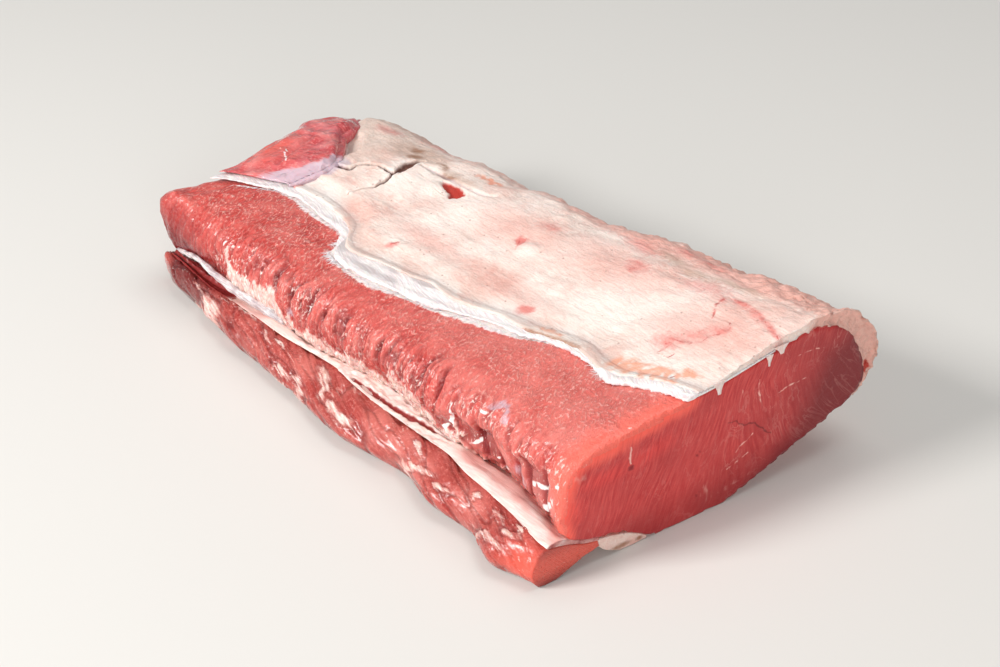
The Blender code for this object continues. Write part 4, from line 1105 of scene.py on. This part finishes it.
class VEALLOIN_OT_backstrap(bpy.types.Operator):
    """Model the white backstrap with its thick torn edge"""

    bl_idname = "veal_loin.backstrap"
    bl_label = "Backstrap"

    def execute(self, context):
        piece = copy_of("backstrap", "silverskin_sheet")
        subdivide_all(piece, 3)
        p, n = points_of(piece), normals_of(piece)
        gap = p[:, 1] - along(TORN_EDGE, p[:, 0])
        flat = p * (1.0, 1.0, 0.0)
        moved = p.copy()
        ragged = (
            0.8 * noise(flat, 7.0, 21) + 0.7 * noise(flat, 2.6, 22) + 0.6 * noise(flat, (0.9, 4.0, 4.0), 23)
        )
        wider = 1.4 * eased(p[:, 0], 100.0, 118.0) + 0.8 * faded(p[:, 0], -120.0, -104.0)
        moved[:, 1] += faded(gap, 0.0, 5.0) * (ragged - wider)
        up = eased(n[:, 2], 0.0, 0.6)
        lump = 0.45 + 0.6 * noise(flat, (9.0, 4.0, 4.0), 24) + 0.25 * noise(flat, (3.0, 1.6, 3.0), 29)
        moved[:, 2] += up * faded(gap, 2.0, 5.5) * np.maximum(lump, -0.1)
        moved[:, 2] += up * faded(gap, 9.0, 15.0) * 0.3 * noise(flat, (5.0, 1.3, 3.0), 25)
        lower = faded(gap, 0.0, 1.6) * (0.35 - 0.35 * n[:, 2])
        moved[:, 2] -= 0.5 * lower
        move_to(piece, stay_flat(p, moved))
        bend = 3.0 * noise(flat, 18.0, 26)
        paint(piece, "grain", columns(p[:, 1] + 0.25 * p[:, 0] + bend, p[:, 0], p[:, 2]))
        veil_and_glints = (
            eased(gap + noise(flat, 5.0, 27), 3.5, 6.0) * eased(p[:, 0], -60.0, -46.0)
            * faded(p[:, 0], 10.0, 24.0)
        )
        paint_share(piece, "thin", veil_and_glints * (0.5 + 1.1 * noise(flat, (14.0, 5.0, 5.0), 28)))
        paint(piece, "flesh", 0.25 * faded(gap, -1.5, 0.6))
        piece.data.materials.append(membrane_material("silverskin", "#FCF6F4", "#E8DADC", "#CCC1C1"))
        settle(piece, "silverskin", "backstrap")
        return {"FINISHED"}


class VEALLOIN_OT_torn_fibres(bpy.types.Operator):
    """Lay fine torn fibres along the edge of the backstrap"""

    bl_idname = "veal_loin.torn_fibres"
    bl_label = "Torn Fibres"

    def execute(self, context):
        eye = surface_of("loin_eye")
        rng = np.random.default_rng(8)
        curve = tube_curve("torn_fibres", 0.00011, 0)
        for _ in range(900):
            x = rng.uniform(-128.0, 138.0)
            crowd = 1.0 if -50.0 < x < -36.0 or 99.0 < x < 116.0 else 0.5
            if rng.uniform() > crowd:
                continue
            y = float(along(TORN_EDGE, x)) + 0.8
            length = rng.uniform(1.6, 3.4) * (1.5 if crowd == 1.0 else 1.0)
            heading = rng.normal(-math.pi / 2 - 0.7, 0.4)
            spots = []
            for step in range(5):
                heading += rng.normal(0.0, 0.22)
                z = height_on(eye, x, y)
                if z is None:
                    break
                spots.append((x, y, z + 0.5 - 0.08 * step))
                x += math.cos(heading) * length / 4.0
                y += math.sin(heading) * length / 4.0
            if len(spots) < 5:
                continue
            spline = curve.splines.new("POLY")
            spline.points.add(4)
            for point, spot, radius in zip(spline.points, spots, (1.5, 1.3, 1.0, 0.7, 0.3)):
                point.co = (*(c * MILLIMETRE for c in spot), 1.0)
                point.radius = radius
        piece = mesh_of_tubes(context, curve, MERGE_WITHIN)
        bpy.ops.object.shade_smooth()
        paint(piece, "grain", points_of(piece))
        piece.data.materials.append(membrane_material("torn_silverskin", "#FBF3F2", "#EBDCDD", "#CFC5C6"))
        settle(piece, "silverskin")
        return {"FINISHED"}


class VEALLOIN_OT_fat_cap(bpy.types.Operator):
    """Model the fat cap with its cracks, its pocket and its crumbly roll"""

    bl_idname = "veal_loin.fat_cap"
    bl_label = "Fat Cap"

    def execute(self, context):
        sizes = context.scene.veal_loin
        piece = copy_of("fat_cap", "fat_layer")
        subdivide_all(piece, 2)
        relax(piece, 0.5 * eased(behind_cut(points_of(piece)), 0.8, 4.0), 3)
        p = points_of(piece)
        slots = np.clip(((p[:, 0] + 160.0) / 4.0).astype(int), 0, 80)
        lowest = np.full(81, 1e9)
        np.minimum.at(lowest, slots, np.where(p[:, 2] > 40.0, p[:, 1], 1e9))
        filled = np.where(lowest < 1e8)[0]
        left_edge = columns(filled * 4.0 - 158.0, lowest[filled])
        c, facing = centres_of(piece), facing_of(piece)
        shown = (c[:, 1] > 46.0) | (behind_cut(c) < 9.0) | (c[:, 1] < along(left_edge, c[:, 0]) + 6.0)
        outside = (facing @ (0.3, 0.4, 1.0) > 0.15) & (c[:, 2] > 26.0)
        refine(piece, shown & outside, 1)
        c, facing = centres_of(piece), facing_of(piece)
        near = np.zeros(len(c), bool)
        for line in CRACKS + THREADS + (FOLD,):
            near |= line_reach(c[:, :2], as_path(line)) < 2.4
        near |= marks_at(c[:, :2], POCKET) > 0.0
        refine(piece, near & (facing[:, 2] > 0.2) & (c[:, 2] > 30.0), 2)

        p, n = points_of(piece), normals_of(piece)
        x, y, z = p.T
        up = eased(n[:, 2], 0.1, 0.5)
        outer = eased(n[:, 2] + 1.3 * n[:, 1] + 0.8 * n[:, 0], 0.1, 0.6)
        flat = p * (1.0, 1.0, 0.4)
        back = eased(y, 46.0, 60.0)
        roll = eased(y + 0.25 * x, 76.0, 96.0)
        rise = outer * (
            0.8 * noise(flat, 15.0, 31) + 0.45 * noise(flat, 5.5, 32) + 0.22 * noise(flat, 2.6, 29)
        )
        rise += outer * 0.3 * noise(flat, (12.0, 2.2, 2.2), 33)
        rise += outer * back * (0.9 * noise(p, 8.0, 34) + 0.55 * noise(p, 3.6, 35) + 0.3 * noise(p, 1.9, 45))
        rise += outer * roll * (0.8 * noise(p, 3.2, 46) + 0.4 * noise(p, 1.7, 47))
        warp = columns(noise(flat, 2.6, 36), noise(flat, 2.6, 37))
        crack = np.zeros(len(x))
        for line in CRACKS:
            reach = line_reach(p[:, :2] + 0.35 * warp, line)
            crack = np.maximum(crack, faded(reach, 0.6, 1.5))
            rise += up * 0.3 * faded(reach, 1.2, 6.0) * eased(reach, 0.9, 1.6)
        crack *= up
        rise -= sizes.crack_depth * crack
        fold = up * faded(line_reach(p[:, :2] + 0.4 * warp, FOLD), 0.4, 1.5)
        rise -= 1.1 * fold
        pocket = up * marks_at(p[:, :2] + 0.6 * warp, POCKET, 0.18)
        rise -= 2.2 * pocket
        knob = up * marks_at(p[:, :2], KNOBS, 0.9)
        rise += 2.0 * knob
        rise += up * 0.5 * faded(line_reach(p[:, :2] + 0.5 * warp, RIDGE_LINE), 0.0, 1.5)
        rise += up * 1.0 * marks_at(p[:, :2], SWELLINGS, 0.9)
        by_rump = x - along(LILAC_LINE, y) + 1.6 * noise(flat, 5.0, 52)
        rise += (
            up * 1.5 * faded(x - along(RUMP_EDGE, y), 1.0, 8.0) * (1.0 - 0.5 * eased(y, 6.0, 30.0))
            * eased(y, -24.0, -16.0)
        )
        moved = p + n * rise[:, None]

        inward = y - along(left_edge, x)
        left = faded(inward, 0.0, 4.0)
        spread = along(((44, 0.0), (56, -1.4), (76, -2.4), (104, -2.4), (112, 0.0)), x)
        moved[:, 1] += left * (1.0 * noise(flat, 6.5, 40) + 0.8 * noise(flat, 2.4, 41) + spread)
        by_edge = x - along(RUMP_EDGE, y)
        over = faded(by_edge, 0.5, 4.0) * eased(z, 44.0, 50.0) * faded(y, 44.0, 50.0) * eased(y, -24.0, -18.0)
        moved[:, 0] -= 1.8 * over
        moved[:, 1] -= 1.2 * over * eased(y, 2.0, 10.0)
        band = surface_of("backstrap")
        for index in np.where((inward < 12.0) & (n[:, 2] > -0.4) & (z > 40.0))[0]:
            under = height_on(band, moved[index, 0], moved[index, 1])
            if under is not None:
                moved[index, 2] = min(moved[index, 2], under - 0.3 + 0.2 * max(inward[index], 0.0))
        lip = faded(behind_cut(p), 0.0, 3.0)
        face = lip * eased(n[:, 0], 0.3, 0.8)
        thick = eased(y, 20.0, 60.0)
        moved += (lip * outer * (0.4 * noise(p, 5.0, 42) - (0.15 + 0.6 * thick) * lip))[:, None] * n
        moved[:, 0] += face * (0.3 + 0.7 * thick) * (0.9 * noise(p, 4.0, 48) + 0.6 * noise(p, 2.0, 49) - 0.3)
        moved[:, 2] = np.maximum(moved[:, 2], np.minimum(p[:, 2], 0.05))
        move_to(piece, moved)
        relax(
            piece, 0.8 * faded(inward, 9.0, 14.0) * eased(z, 38.0, 42.0) * eased(behind_cut(p), 0.5, 2.0), 3
        )

        xy = p[:, :2] + 1.8 * columns(noise(flat, 6.0, 43), noise(flat, 6.0, 44))
        rim = face * (1.0 - thick)
        paint_share(piece, "pale", 0.45 + 0.9 * noise(flat, 30.0, 50) - back + 0.6 * up * crack + rim + knob)
        paint_share(piece, "blush", 0.65 * marks_at(xy, BLUSH, 0.9) + 0.4 * back)
        paint_share(piece, "peach", marks_at(xy, PEACH_MARKS, 0.7) * (0.85 + 1.3 * noise(flat, 2.8, 54)))
        brink = faded(inward, 0.6, 1.8) * eased(x, 56.0, 64.0) * faded(x, 84.0, 92.0)
        paint(piece, "brown", np.maximum(0.7 * marks_at(xy, BROWN_MARKS, 0.7) * up, 0.7 * brink))
        sheer = (
            faded(inward + 1.5 * noise(flat, 4.0, 53), 1.5, 6.0) * eased(x, -58.0, -44.0)
            * faded(x, 6.0, 20.0)
        )
        far_end = 0.6 * faded(x, -110.0, -66.0) * eased(y, -6.0, 20.0)
        # Grey: the sheer fat by the backstrap and the fat's far end, and the grey marks, partly painted
        # shade.
        paint_share(piece, "grey", (0.75 * marks_at(xy, GREY_AND_SHADE_MARKS, 0.8) + 0.6 * sheer + far_end) * up)
        # Lilac: the membrane at the corner by the rump, and painted shade along the fold.
        corner = faded(by_rump, 4.5, 8.5) * faded(y, 4.0, 14.0)
        paint_share(piece, "lilac", 0.45 * fold + corner * up)
        paint_share(
            piece, "rind",
            (0.7 + 0.6 * noise(p, 6.0, 55)) * roll + 0.35 * face * thick + 0.15 * eased(y, 66.0, 80.0)
        )
        thread, halo = np.zeros(len(x)), np.zeros(len(x))
        for line in THREADS:
            reach = line_reach(p[:, :2] + 0.6 * warp, line)
            thread = np.maximum(thread, faded(reach, 0.5, 1.9))
            halo = np.maximum(halo, faded(reach, 1.0, 8.0))
        paint(piece, "thread", thread * up * np.clip(0.55 + 1.1 * noise(flat, 2.2, 51), 0.0, 1.0))
        wall = faded(by_edge, 0.5, 4.0) * (1.0 - up) * eased(z, 42.0, 48.0) * faded(y, 30.0, 40.0)
        spot = 0.8 * marks_at(xy, PINK_SPOTS, 0.9)
        paint_share(
            piece, "pink", 0.55 * marks_at(xy, PINK_MARKS, 0.95) + 0.2 * halo * up + spot + 0.9 * wall
        )
        paint_share(piece, "crack", crack * 1.1)
        pit = marks_at(p[:, 1:], ((83.0, 37.0, 2.0, 3.2, 10),), 0.3) * faded(behind_cut(p), 0.5, 2.5)
        paint_share(piece, "flesh", pocket + 0.9 * pit)
        piece.data.materials.append(fat_material())
        settle(piece, "fat", "fat_cap")
        return {"FINISHED"}


class VEALLOIN_OT_rump_tip(bpy.types.Operator):
    """Model the wet tip of the rump muscle"""

    bl_idname = "veal_loin.rump_tip"
    bl_label = "Rump Tip"

    def execute(self, context):
        piece = copy_of("rump_tip", "rump_muscle")
        remesh(piece, 0.75)
        relax(piece, np.ones(len(piece.data.vertices)), 8)
        p, n = points_of(piece), normals_of(piece)
        x, y, z = p.T
        up = eased(n[:, 2], 0.0, 0.5)
        folds = np.sin((y - 0.55 * (x + 130.0)) / 3.6 + 1.6 * noise(p, 12.0, 51))
        gully = np.exp(-(line_reach(p[:, :2], RUMP_GULLY)) ** 2)
        rise = up * (
            0.45 * folds * eased(y, -8.0, 4.0) + 0.8 * noise(p, 9.0, 52)
            + 0.35 * noise(p, (2.6, 7.0, 3.0), 53)
        )
        rise -= up * 0.8 * gully
        past = x - along(LILAC_LINE, y) + 1.3 * noise(p, 5.0, 55) + 0.9 * noise(p, (6.0, 2.0, 2.0), 56)
        by_edge = x - along(RUMP_EDGE, y)
        rise += 1.2 * eased(by_edge, -2.5, -0.5) * (1.0 - up)
        rise -= 1.9 * up * eased(by_edge, -7.0, -0.5) * (1.0 - 0.2 * eased(y, 16.0, 34.0))
        move_to(piece, stay_flat(p, p + n * rise[:, None]))
        paint(piece, "grain", columns(y - 0.4 * x, x + 0.3 * y, z))
        # Painted shade: darker on the steep sides, in the troughs of the folds and in the gully.
        edge = 0.3 * (1.0 - up)
        painted_shade = up * 0.2 * eased(-folds, 0.3, 1.0) * eased(y, -8.0, 4.0) + 0.3 * gully * up + 0.5 * edge
        paint_share(piece, "hollow", painted_shade)
        border = (
            eased(past, -5.2, -1.0) * faded(y, 4.0, 12.0)
            * eased(x + 2.0 * noise(p, 6.0, 50), -125.0, -116.0)
        )
        paint(piece, "lilac", border)
        paint(piece, "pale", np.clip(0.2 + 0.8 * noise(p, (7.0, 9.0, 7.0), 57), 0.0, 1.0) * up)
        # Painted glints on the wet rump's tip.
        paint(
            piece, "veil_and_glints",
            0.8 * marks_at(p[:, :2] + 0.5 * noise(p, 2.0, 58)[:, None], RUMP_GLINTS, 0.6) * up
        )
        # Painted glow over the left part of the rump's tip.
        paint_share(piece, "painted_glow", 0.7 * marks_at(p[:, :2], RUMP_GLOW, 0.9) + 0.25 * noise(p, 9.0, 54))
        paint(piece, "flecks", 0.2 + 0.0 * x)
        paint(piece, "wet", 0.4 + 0.6 * up)
        piece.data.materials.append(lean_material("veal_rump", RUMP_LEAN, 0.26, 0.9))
        settle(piece, "dark_lean", "rump_tip")
        return {"FINISHED"}


class VEALLOIN_OT_side_strip(bpy.types.Operator):
    """Model the side strip with its folds and cream patches"""

    bl_idname = "veal_loin.side_strip"
    bl_label = "Side Strip"

    def execute(self, context):
        piece = copy_of("side_strip", "chain_muscle")
        remesh(piece, 0.74)
        p = points_of(piece)
        relax(piece, eased(behind_cut(p), 0.8, 3.0), 12)
        p, n = points_of(piece), normals_of(piece)
        x, y, z = p.T
        shown = (
            eased(-n[:, 1] + 0.8 * n[:, 2], 0.1, 0.6) * eased(z, 0.5, 3.0) * eased(behind_cut(p), 0.5, 4.0)
        )
        down = (17.0 - z) - (y + 70.0)
        lengthwise, crosswise = 0.91 * x + 0.42 * down, 0.91 * down - 0.42 * x
        flow = columns(crosswise + 1.2 * noise(p, 12.0, 61), lengthwise, x * 0.0)
        torn = noise(flow, (2.2, 9.0, 9.0), 62) + 0.5 * noise(flow, (1.2, 4.0, 4.0), 63)
        xy = p[:, :2] + columns(2.2 * torn, 0.9 * torn)
        patches = marks_at(xy, CREAM_ON_STRIP, 0.85)
        facing = eased(-n[:, 1] + n[:, 2], 0.1, 0.5)
        cream = eased(patches + 0.3 * noise(flow, (1.3, 7.0, 7.0), 59), 0.35, 0.8) * facing
        ring = eased(patches, 0.02, 0.3) * faded(patches, 0.4, 0.7)
        split = np.exp(-(noise(flow, (6.0, 22.0, 22.0), 69) / 0.07) ** 2)
        rise = shown * (1.1 * noise(flow, (7.5, 20.0, 20.0), 64) + 0.35 * noise(flow, (2.2, 9.0, 9.0), 65))
        rise += shown * (cream * (0.35 + 0.3 * noise(flow, (2.0, 6.0, 6.0), 66)) - 0.6 * split - 0.4 * ring)
        move_to(piece, stay_flat(p, p + n * rise[:, None]))
        paint(piece, "grain", flow)
        # Painted shade: darker along the underside, in splits, the rings round the cream patches and the
        # dips, over the far end and on the cut end.
        under = faded(z, 0.0, 6.0)
        painted_shade = (0.5 * split + 0.3 * ring) * shown + 0.8 * under * eased(noise(p, 9.0, 67), -0.7, 0.1)
        painted_shade += 0.85 * faded(x + 3.0 * torn, -120.0, -90.0) * eased(x, -146.0, -138.0)
        painted_shade += 0.75 * faded(behind_cut(p), 0.3, 1.0) + 0.3 * marks_at(p[:, :2], STRIP_DIPS, 0.6)
        paint(piece, "hollow", np.clip(painted_shade, 0.0, 1.0) * (1.0 - cream))
        webs = (
            0.45 * np.exp(-(noise(flow, (3.4, 24.0, 24.0), 70) / 0.06) ** 2)
            * eased(noise(p, 22.0, 71), -0.3, 0.2) * shown
        )
        frayed = patches * (0.8 + 0.7 * noise(flow, (1.3, 7.0, 7.0), 59))
        paint(
            piece, "cream",
            np.maximum(np.clip(frayed, 0.0, 0.95) * facing, webs) * eased(behind_cut(p), 0.6, 2.0)
        )
        # Painted glow over the clear tip.
        tip = marks_at(p[:, [0, 2]], STRIP_TIP, 0.8)
        paint(piece, "painted_glow", 0.85 * tip)
        light = marks_at(p[:, :2], LIGHT_ON_STRIP, 0.8)
        paint(
            piece, "pale", np.clip(0.7 * light + 0.3 * noise(flow, (5.0, 16.0, 16.0), 60), 0.0, 1.0) * shown
        )
        paint(piece, "flecks", np.clip(0.1 + 0.5 * noise(p, 12.0, 68), 0.0, 1.0) * shown)
        paint(piece, "wet", 0.75 * shown * (1.0 - 0.75 * cream))
        line = faded(line_reach(p[:, 1:], STRIP_LINE), 0.5, 1.8)
        paint(piece, "veil_and_glints", 0.4 * line * faded(behind_cut(p), 0.4, 1.4))
        piece.data.materials.append(lean_material("veal_side_strip", STRIP_LEAN, 0.32, 0.6))
        settle(piece, "lean_strip", "side_strip")
        return {"FINISHED"}


class VEALLOIN_OT_seam(bpy.types.Operator):
    """Model the white seam with its crumbly patch and slit"""

    bl_idname = "veal_loin.seam"
    bl_label = "Seam"

    def execute(self, context):
        piece = copy_of("seam_fat", "seam_layer")
        subdivide_all(piece, 3)
        p, n = points_of(piece), normals_of(piece)
        x, y, z = p.T
        shown = (
            eased(n[:, 2] - 0.5 * n[:, 1], 0.2, 0.7) * faded(y, -60.0, -54.0)
            * eased(behind_cut(p), 0.5, 4.0)
        )
        crumbly = eased(x, -50.0, -36.0) * faded(x, 56.0, 68.0)
        warp = columns(noise(p, 3.0, 71), noise(p, 3.0, 72))
        slit = faded(line_reach(p[:, :2] + 0.5 * warp, SEAM_SLIT), 0.6, 1.8)
        rise = shown * (
            0.7 * noise(p, (11.0, 5.0, 5.0), 73) + (0.12 + 0.2 * crumbly) * noise(p, (5.0, 1.8, 2.0), 74)
        )
        rise += shown * crumbly * (0.7 * noise(p, 3.4, 75) + 0.5 * noise(p, 1.8, 76))
        rise -= shown * 1.4 * slit
        # The bare far part of the seam is sunk and painted dark red, partly painted shade under the tendon.
        bare = faded(x + 3.0 * noise(p, 6.0, 77), -98.0, -84.0)
        rise += shown * bare * (0.8 * noise(p, 4.0, 79) - 1.0)
        moved = p + n * rise[:, None]
        moved[:, 2] += 0.9 * eased(y, -73.0, -66.0) * eased(x, 54.0, 74.0) * eased(n[:, 2], 0.0, 0.4)
        move_to(piece, stay_flat(p, moved))
        paint(piece, "grain", columns(y, x, z))
        below = faded(behind_cut(p), 0.2, 0.8) * faded(z + 0.33 * (y + 70.0), 18.2, 19.4)
        paint_share(piece, "flesh", np.maximum(np.maximum(bare, 0.9 * slit * shown), 0.55 * below))
        inner = 0.5 * eased(y + 1.5 * noise(p, (9.0, 2.0, 2.0), 80), -70.0, -65.5) * eased(x, 58.0, 76.0)
        tail = eased(x, 126.0, 142.0)
        paint_share(
            piece, "thin",
            0.15 + 0.7 * noise(p, (14.0, 5.0, 5.0), 78) - 0.2 * crumbly + 0.7 * tail + inner
            + 0.4 * faded(x, -72.0, -48.0)
        )
        piece.data.materials.append(
            membrane_material("seam_fat", "#F6E3DD", "#F0D0C8", "#EBBAB2", "#93302F", 0.24, 0.3)
        )
        settle(piece, "seam", "seam_fat")
        return {"FINISHED"}


class VEALLOIN_OT_tendon(bpy.types.Operator):
    """Model the silvery tendon along the foot of the boned side"""

    bl_idname = "veal_loin.tendon"
    bl_label = "Tendon"

    def execute(self, context):
        eye = surface_of("loin_eye")
        curve = tube_curve("tendon", MILLIMETRE, 5)
        for lift, slim, late in TENDON_STRANDS:
            spline = curve.splines.new("NURBS")
            path = TENDON[late:]
            spline.points.add(len(path) - 1)
            spline.order_u = 4
            spline.use_endpoint_u = True
            for index, (point, (x, z, out, half)) in enumerate(zip(spline.points, path)):
                z = z + lift * min(1.0, index / 3.0)
                hit = eye.ray_cast(Vector((x, -200.0, z)) * MILLIMETRE, Vector((0.0, 1.0, 0.0)))[0]
                y = hit.y * PER_METRE if hit else -68.0
                point.co = (x * MILLIMETRE, (y - out) * MILLIMETRE, z * MILLIMETRE, 1.0)
                point.radius = half * slim
        piece = mesh_of_tubes(context, curve, 1e-5)
        smooth_finer(piece, 1)
        bpy.ops.object.shade_smooth()
        p, n = points_of(piece), normals_of(piece)
        rise = 0.4 * noise(p, (9.0, 1.8, 1.8), 81) + 0.3 * noise(p, (5.0, 3.0, 3.0), 82)
        move_to(piece, p + n * rise[:, None])
        paint(piece, "grain", columns(p[:, 2] + 0.5 * p[:, 1], p[:, 0], p[:, 1]))
        paint(piece, "thin", 0.35 + 0.3 * noise(p, 7.0, 83))
        piece.data.materials.append(
            membrane_material("tendon", "#F6F0F0", "#B7A2A6", "#A89296", "#C8565A", 0.22)
        )
        settle(piece, "tendon", "silver_cord")
        return {"FINISHED"}


class VEALLOIN_OT_underside_fat(bpy.types.Operator):
    """Model the pad of fat under the eye"""

    bl_idname = "veal_loin.underside_fat"
    bl_label = "Underside Fat"

    def execute(self, context):
        piece = copy_of("underside_fat", "fat_pad")
        remesh(piece, 1.0)
        p = points_of(piece)
        relax(piece, eased(behind_cut(p), 0.8, 3.0), 6)
        p, n = points_of(piece), normals_of(piece)
        rise = eased(behind_cut(p), 0.3, 3.0) * 0.3 * noise(p, 5.0, 91)
        moved = p + n * rise[:, None]
        moved[:, 1] -= PAD_PUSH * faded(p[:, 1], -46.0, -36.0)
        move_to(piece, stay_flat(p, moved))
        marks = marks_at(p[:, 1:], PAD_STAINS, 0.5)
        paint(piece, "brown", 0.7 * marks)
        paint(piece, "blush", 0.4 + 0.4 * noise(p, 9.0, 92))
        piece.data.materials.append(fat_material("pad_fat"))
        settle(piece, "pad_fat", "underside_fat")
        return {"FINISHED"}


class VEALLOIN_OT_fat_fringe(bpy.types.Operator):
    """Model the scraps of membrane that the knife pulled over the cut face"""

    bl_idname = "veal_loin.fat_fringe"
    bl_label = "Fat Fringe"

    def execute(self, context):
        scraps = []
        for y, z, width, drop, thick in SCRAPS:
            bpy.ops.object.select_all(action="DESELECT")
            x = CUT_AT_MIDDLE + CUT_SKEW * y
            bpy.ops.mesh.primitive_cone_add(
                vertices=24, radius1=0.5, radius2=0.16, depth=1.0, end_fill_type="TRIFAN",
                location=(0.0, 0.0, 0.0),
            )
            scrap = bpy.context.active_object
            bpy.ops.object.mode_set(mode="EDIT")
            bpy.ops.mesh.select_all(action="SELECT")
            bpy.ops.mesh.bisect(plane_co=(0.0, 0.0, 0.0), plane_no=(0.0, 0.0, 1.0))
            bpy.ops.mesh.select_all(action="SELECT")
            bpy.ops.mesh.subdivide(number_cuts=3)
            bpy.ops.object.mode_set(mode="OBJECT")
            p = points_of(scrap) / PER_METRE
            share = 0.5 + p[:, 2]
            wide = 0.22 + 0.78 * (1.0 - share) ** 2.0
            hang = columns(
                x + thick * (p[:, 0] * 1.2 + 0.35) + CUT_SKEW * p[:, 1] * width * 2.0,
                y + 0.8 * share * width * 0.3 + p[:, 1] * width * 2.0 * wide / (0.3 + 0.7 * (1.0 - share)),
                z - drop * share + 0.4,
            )
            hang[:, 0] += 0.15 * noise(hang, 2.0, 95)
            move_to(scrap, hang)
            smooth_finer(scrap, 1)
            bpy.ops.object.shade_smooth()
            scraps.append(scrap)
        bpy.ops.object.select_all(action="DESELECT")
        for scrap in scraps:
            scrap.select_set(True)
        bpy.context.view_layer.objects.active = scraps[0]
        bpy.ops.object.join()
        piece = bpy.context.active_object
        piece.name = "fat_fringe"
        piece.data.name = "fat_fringe"
        bpy.ops.object.transform_apply(location=True, rotation=True, scale=True)
        bpy.ops.object.mode_set(mode="EDIT")
        bpy.ops.mesh.select_all(action="SELECT")
        bpy.ops.mesh.normals_make_consistent(inside=False)
        bpy.ops.object.mode_set(mode="OBJECT")
        p = points_of(piece)
        paint(piece, "grain", columns(p[:, 1], p[:, 2], p[:, 0]))
        piece.data.materials.append(membrane_material("pulled_membrane", "#FBE6E0", "#F1CCC5", "#F3D6D0"))
        settle(piece, "silverskin")
        return {"FINISHED"}


class VEALLOIN_OT_stage(bpy.types.Operator):
    """Set up the floor, the studio lights and the camera"""

    bl_idname = "veal_loin.stage"
    bl_label = "Stage"

    def execute(self, context):
        scene = context.scene
        bpy.ops.object.select_all(action="DESELECT")
        bpy.ops.mesh.primitive_plane_add(size=8.0, location=(0.0, 0.0, -0.0003))
        floor = bpy.context.active_object
        floor.name = "floor"
        material = bpy.data.materials.new("matt_paper_floor")
        material.use_nodes = True
        shader = material.node_tree.nodes["Principled BSDF"]
        shader.inputs["Base Color"].default_value = scene.veal_loin.floor_colour
        shader.inputs["Roughness"].default_value = 0.9
        floor.data.materials.append(material)
        world = scene.world or bpy.data.worlds.new("studio")
        scene.world = world
        world.use_nodes = True
        world.node_tree.nodes["Background"].inputs["Color"].default_value = linear("#EEF0F2")
        world.node_tree.nodes["Background"].inputs["Strength"].default_value = 0.3
        for name, spot, size, power in LAMPS:
            lamp = bpy.data.lights.new(name, "AREA")
            lamp.size = size
            lamp.energy = power
            lamp.color = LAMP_COLOUR
            holder = bpy.data.objects.new(name, lamp)
            scene.collection.objects.link(holder)
            holder.location = spot
            holder.rotation_euler = (Vector(LAMPS_AIM_AT) - Vector(spot)).to_track_quat("-Z", "Y").to_euler()
        turn, lift = math.radians(CAMERA_TURN), math.radians(CAMERA_LIFT)
        back = Vector((math.sin(turn) * math.cos(lift), -math.cos(turn) * math.cos(lift), math.sin(lift)))
        lens = bpy.data.cameras.new("camera")
        lens.lens = CAMERA_LENS
        lens.sensor_width = 36.0
        camera = bpy.data.objects.new("camera", lens)
        scene.collection.objects.link(camera)
        camera.location = Vector(CAMERA_AIM) + CAMERA_AWAY * back
        camera.rotation_mode = "QUATERNION"
        camera.rotation_quaternion = (-back).to_track_quat("-Z", "Y")
        scene.camera = camera
        scene.view_settings.view_transform = "Standard"
        return {"FINISHED"}


OPERATORS = (
    VEALLOIN_OT_lean_eye,
    VEALLOIN_OT_backstrap,
    VEALLOIN_OT_torn_fibres,
    VEALLOIN_OT_fat_cap,
    VEALLOIN_OT_rump_tip,
    VEALLOIN_OT_side_strip,
    VEALLOIN_OT_seam,
    VEALLOIN_OT_tendon,
    VEALLOIN_OT_underside_fat,
    VEALLOIN_OT_fat_fringe,
    VEALLOIN_OT_stage,
)


class VEALLOIN_PT_pieces(bpy.types.Panel):
    """Lists the settings and the pieces of the loin"""

    bl_label = "Veal Loin"
    bl_idname = "VEALLOIN_PT_pieces"
    bl_space_type = "VIEW_3D"
    bl_region_type = "UI"
    bl_category = "Veal Loin"

    def draw(self, context):
        settings = context.scene.veal_loin
        for name in ("eye_grain", "bundle_depth", "finger_depth", "crack_depth", "floor_colour"):
            self.layout.prop(settings, name)
        for operator in OPERATORS:
            self.layout.operator(operator.bl_idname)


CLASSES = (VealLoinSettings, *OPERATORS, VEALLOIN_PT_pieces)


def register():
    for made in CLASSES:
        bpy.utils.register_class(made)
    bpy.types.Scene.veal_loin = PointerProperty(type=VealLoinSettings)


def unregister():
    del bpy.types.Scene.veal_loin
    for made in reversed(CLASSES):
        bpy.utils.unregister_class(made)


def main():
    register()
    for operator in OPERATORS:
        group, name = operator.bl_idname.split(".")
        getattr(getattr(bpy.ops, group), name)()


if __name__ == "__main__":
    main()
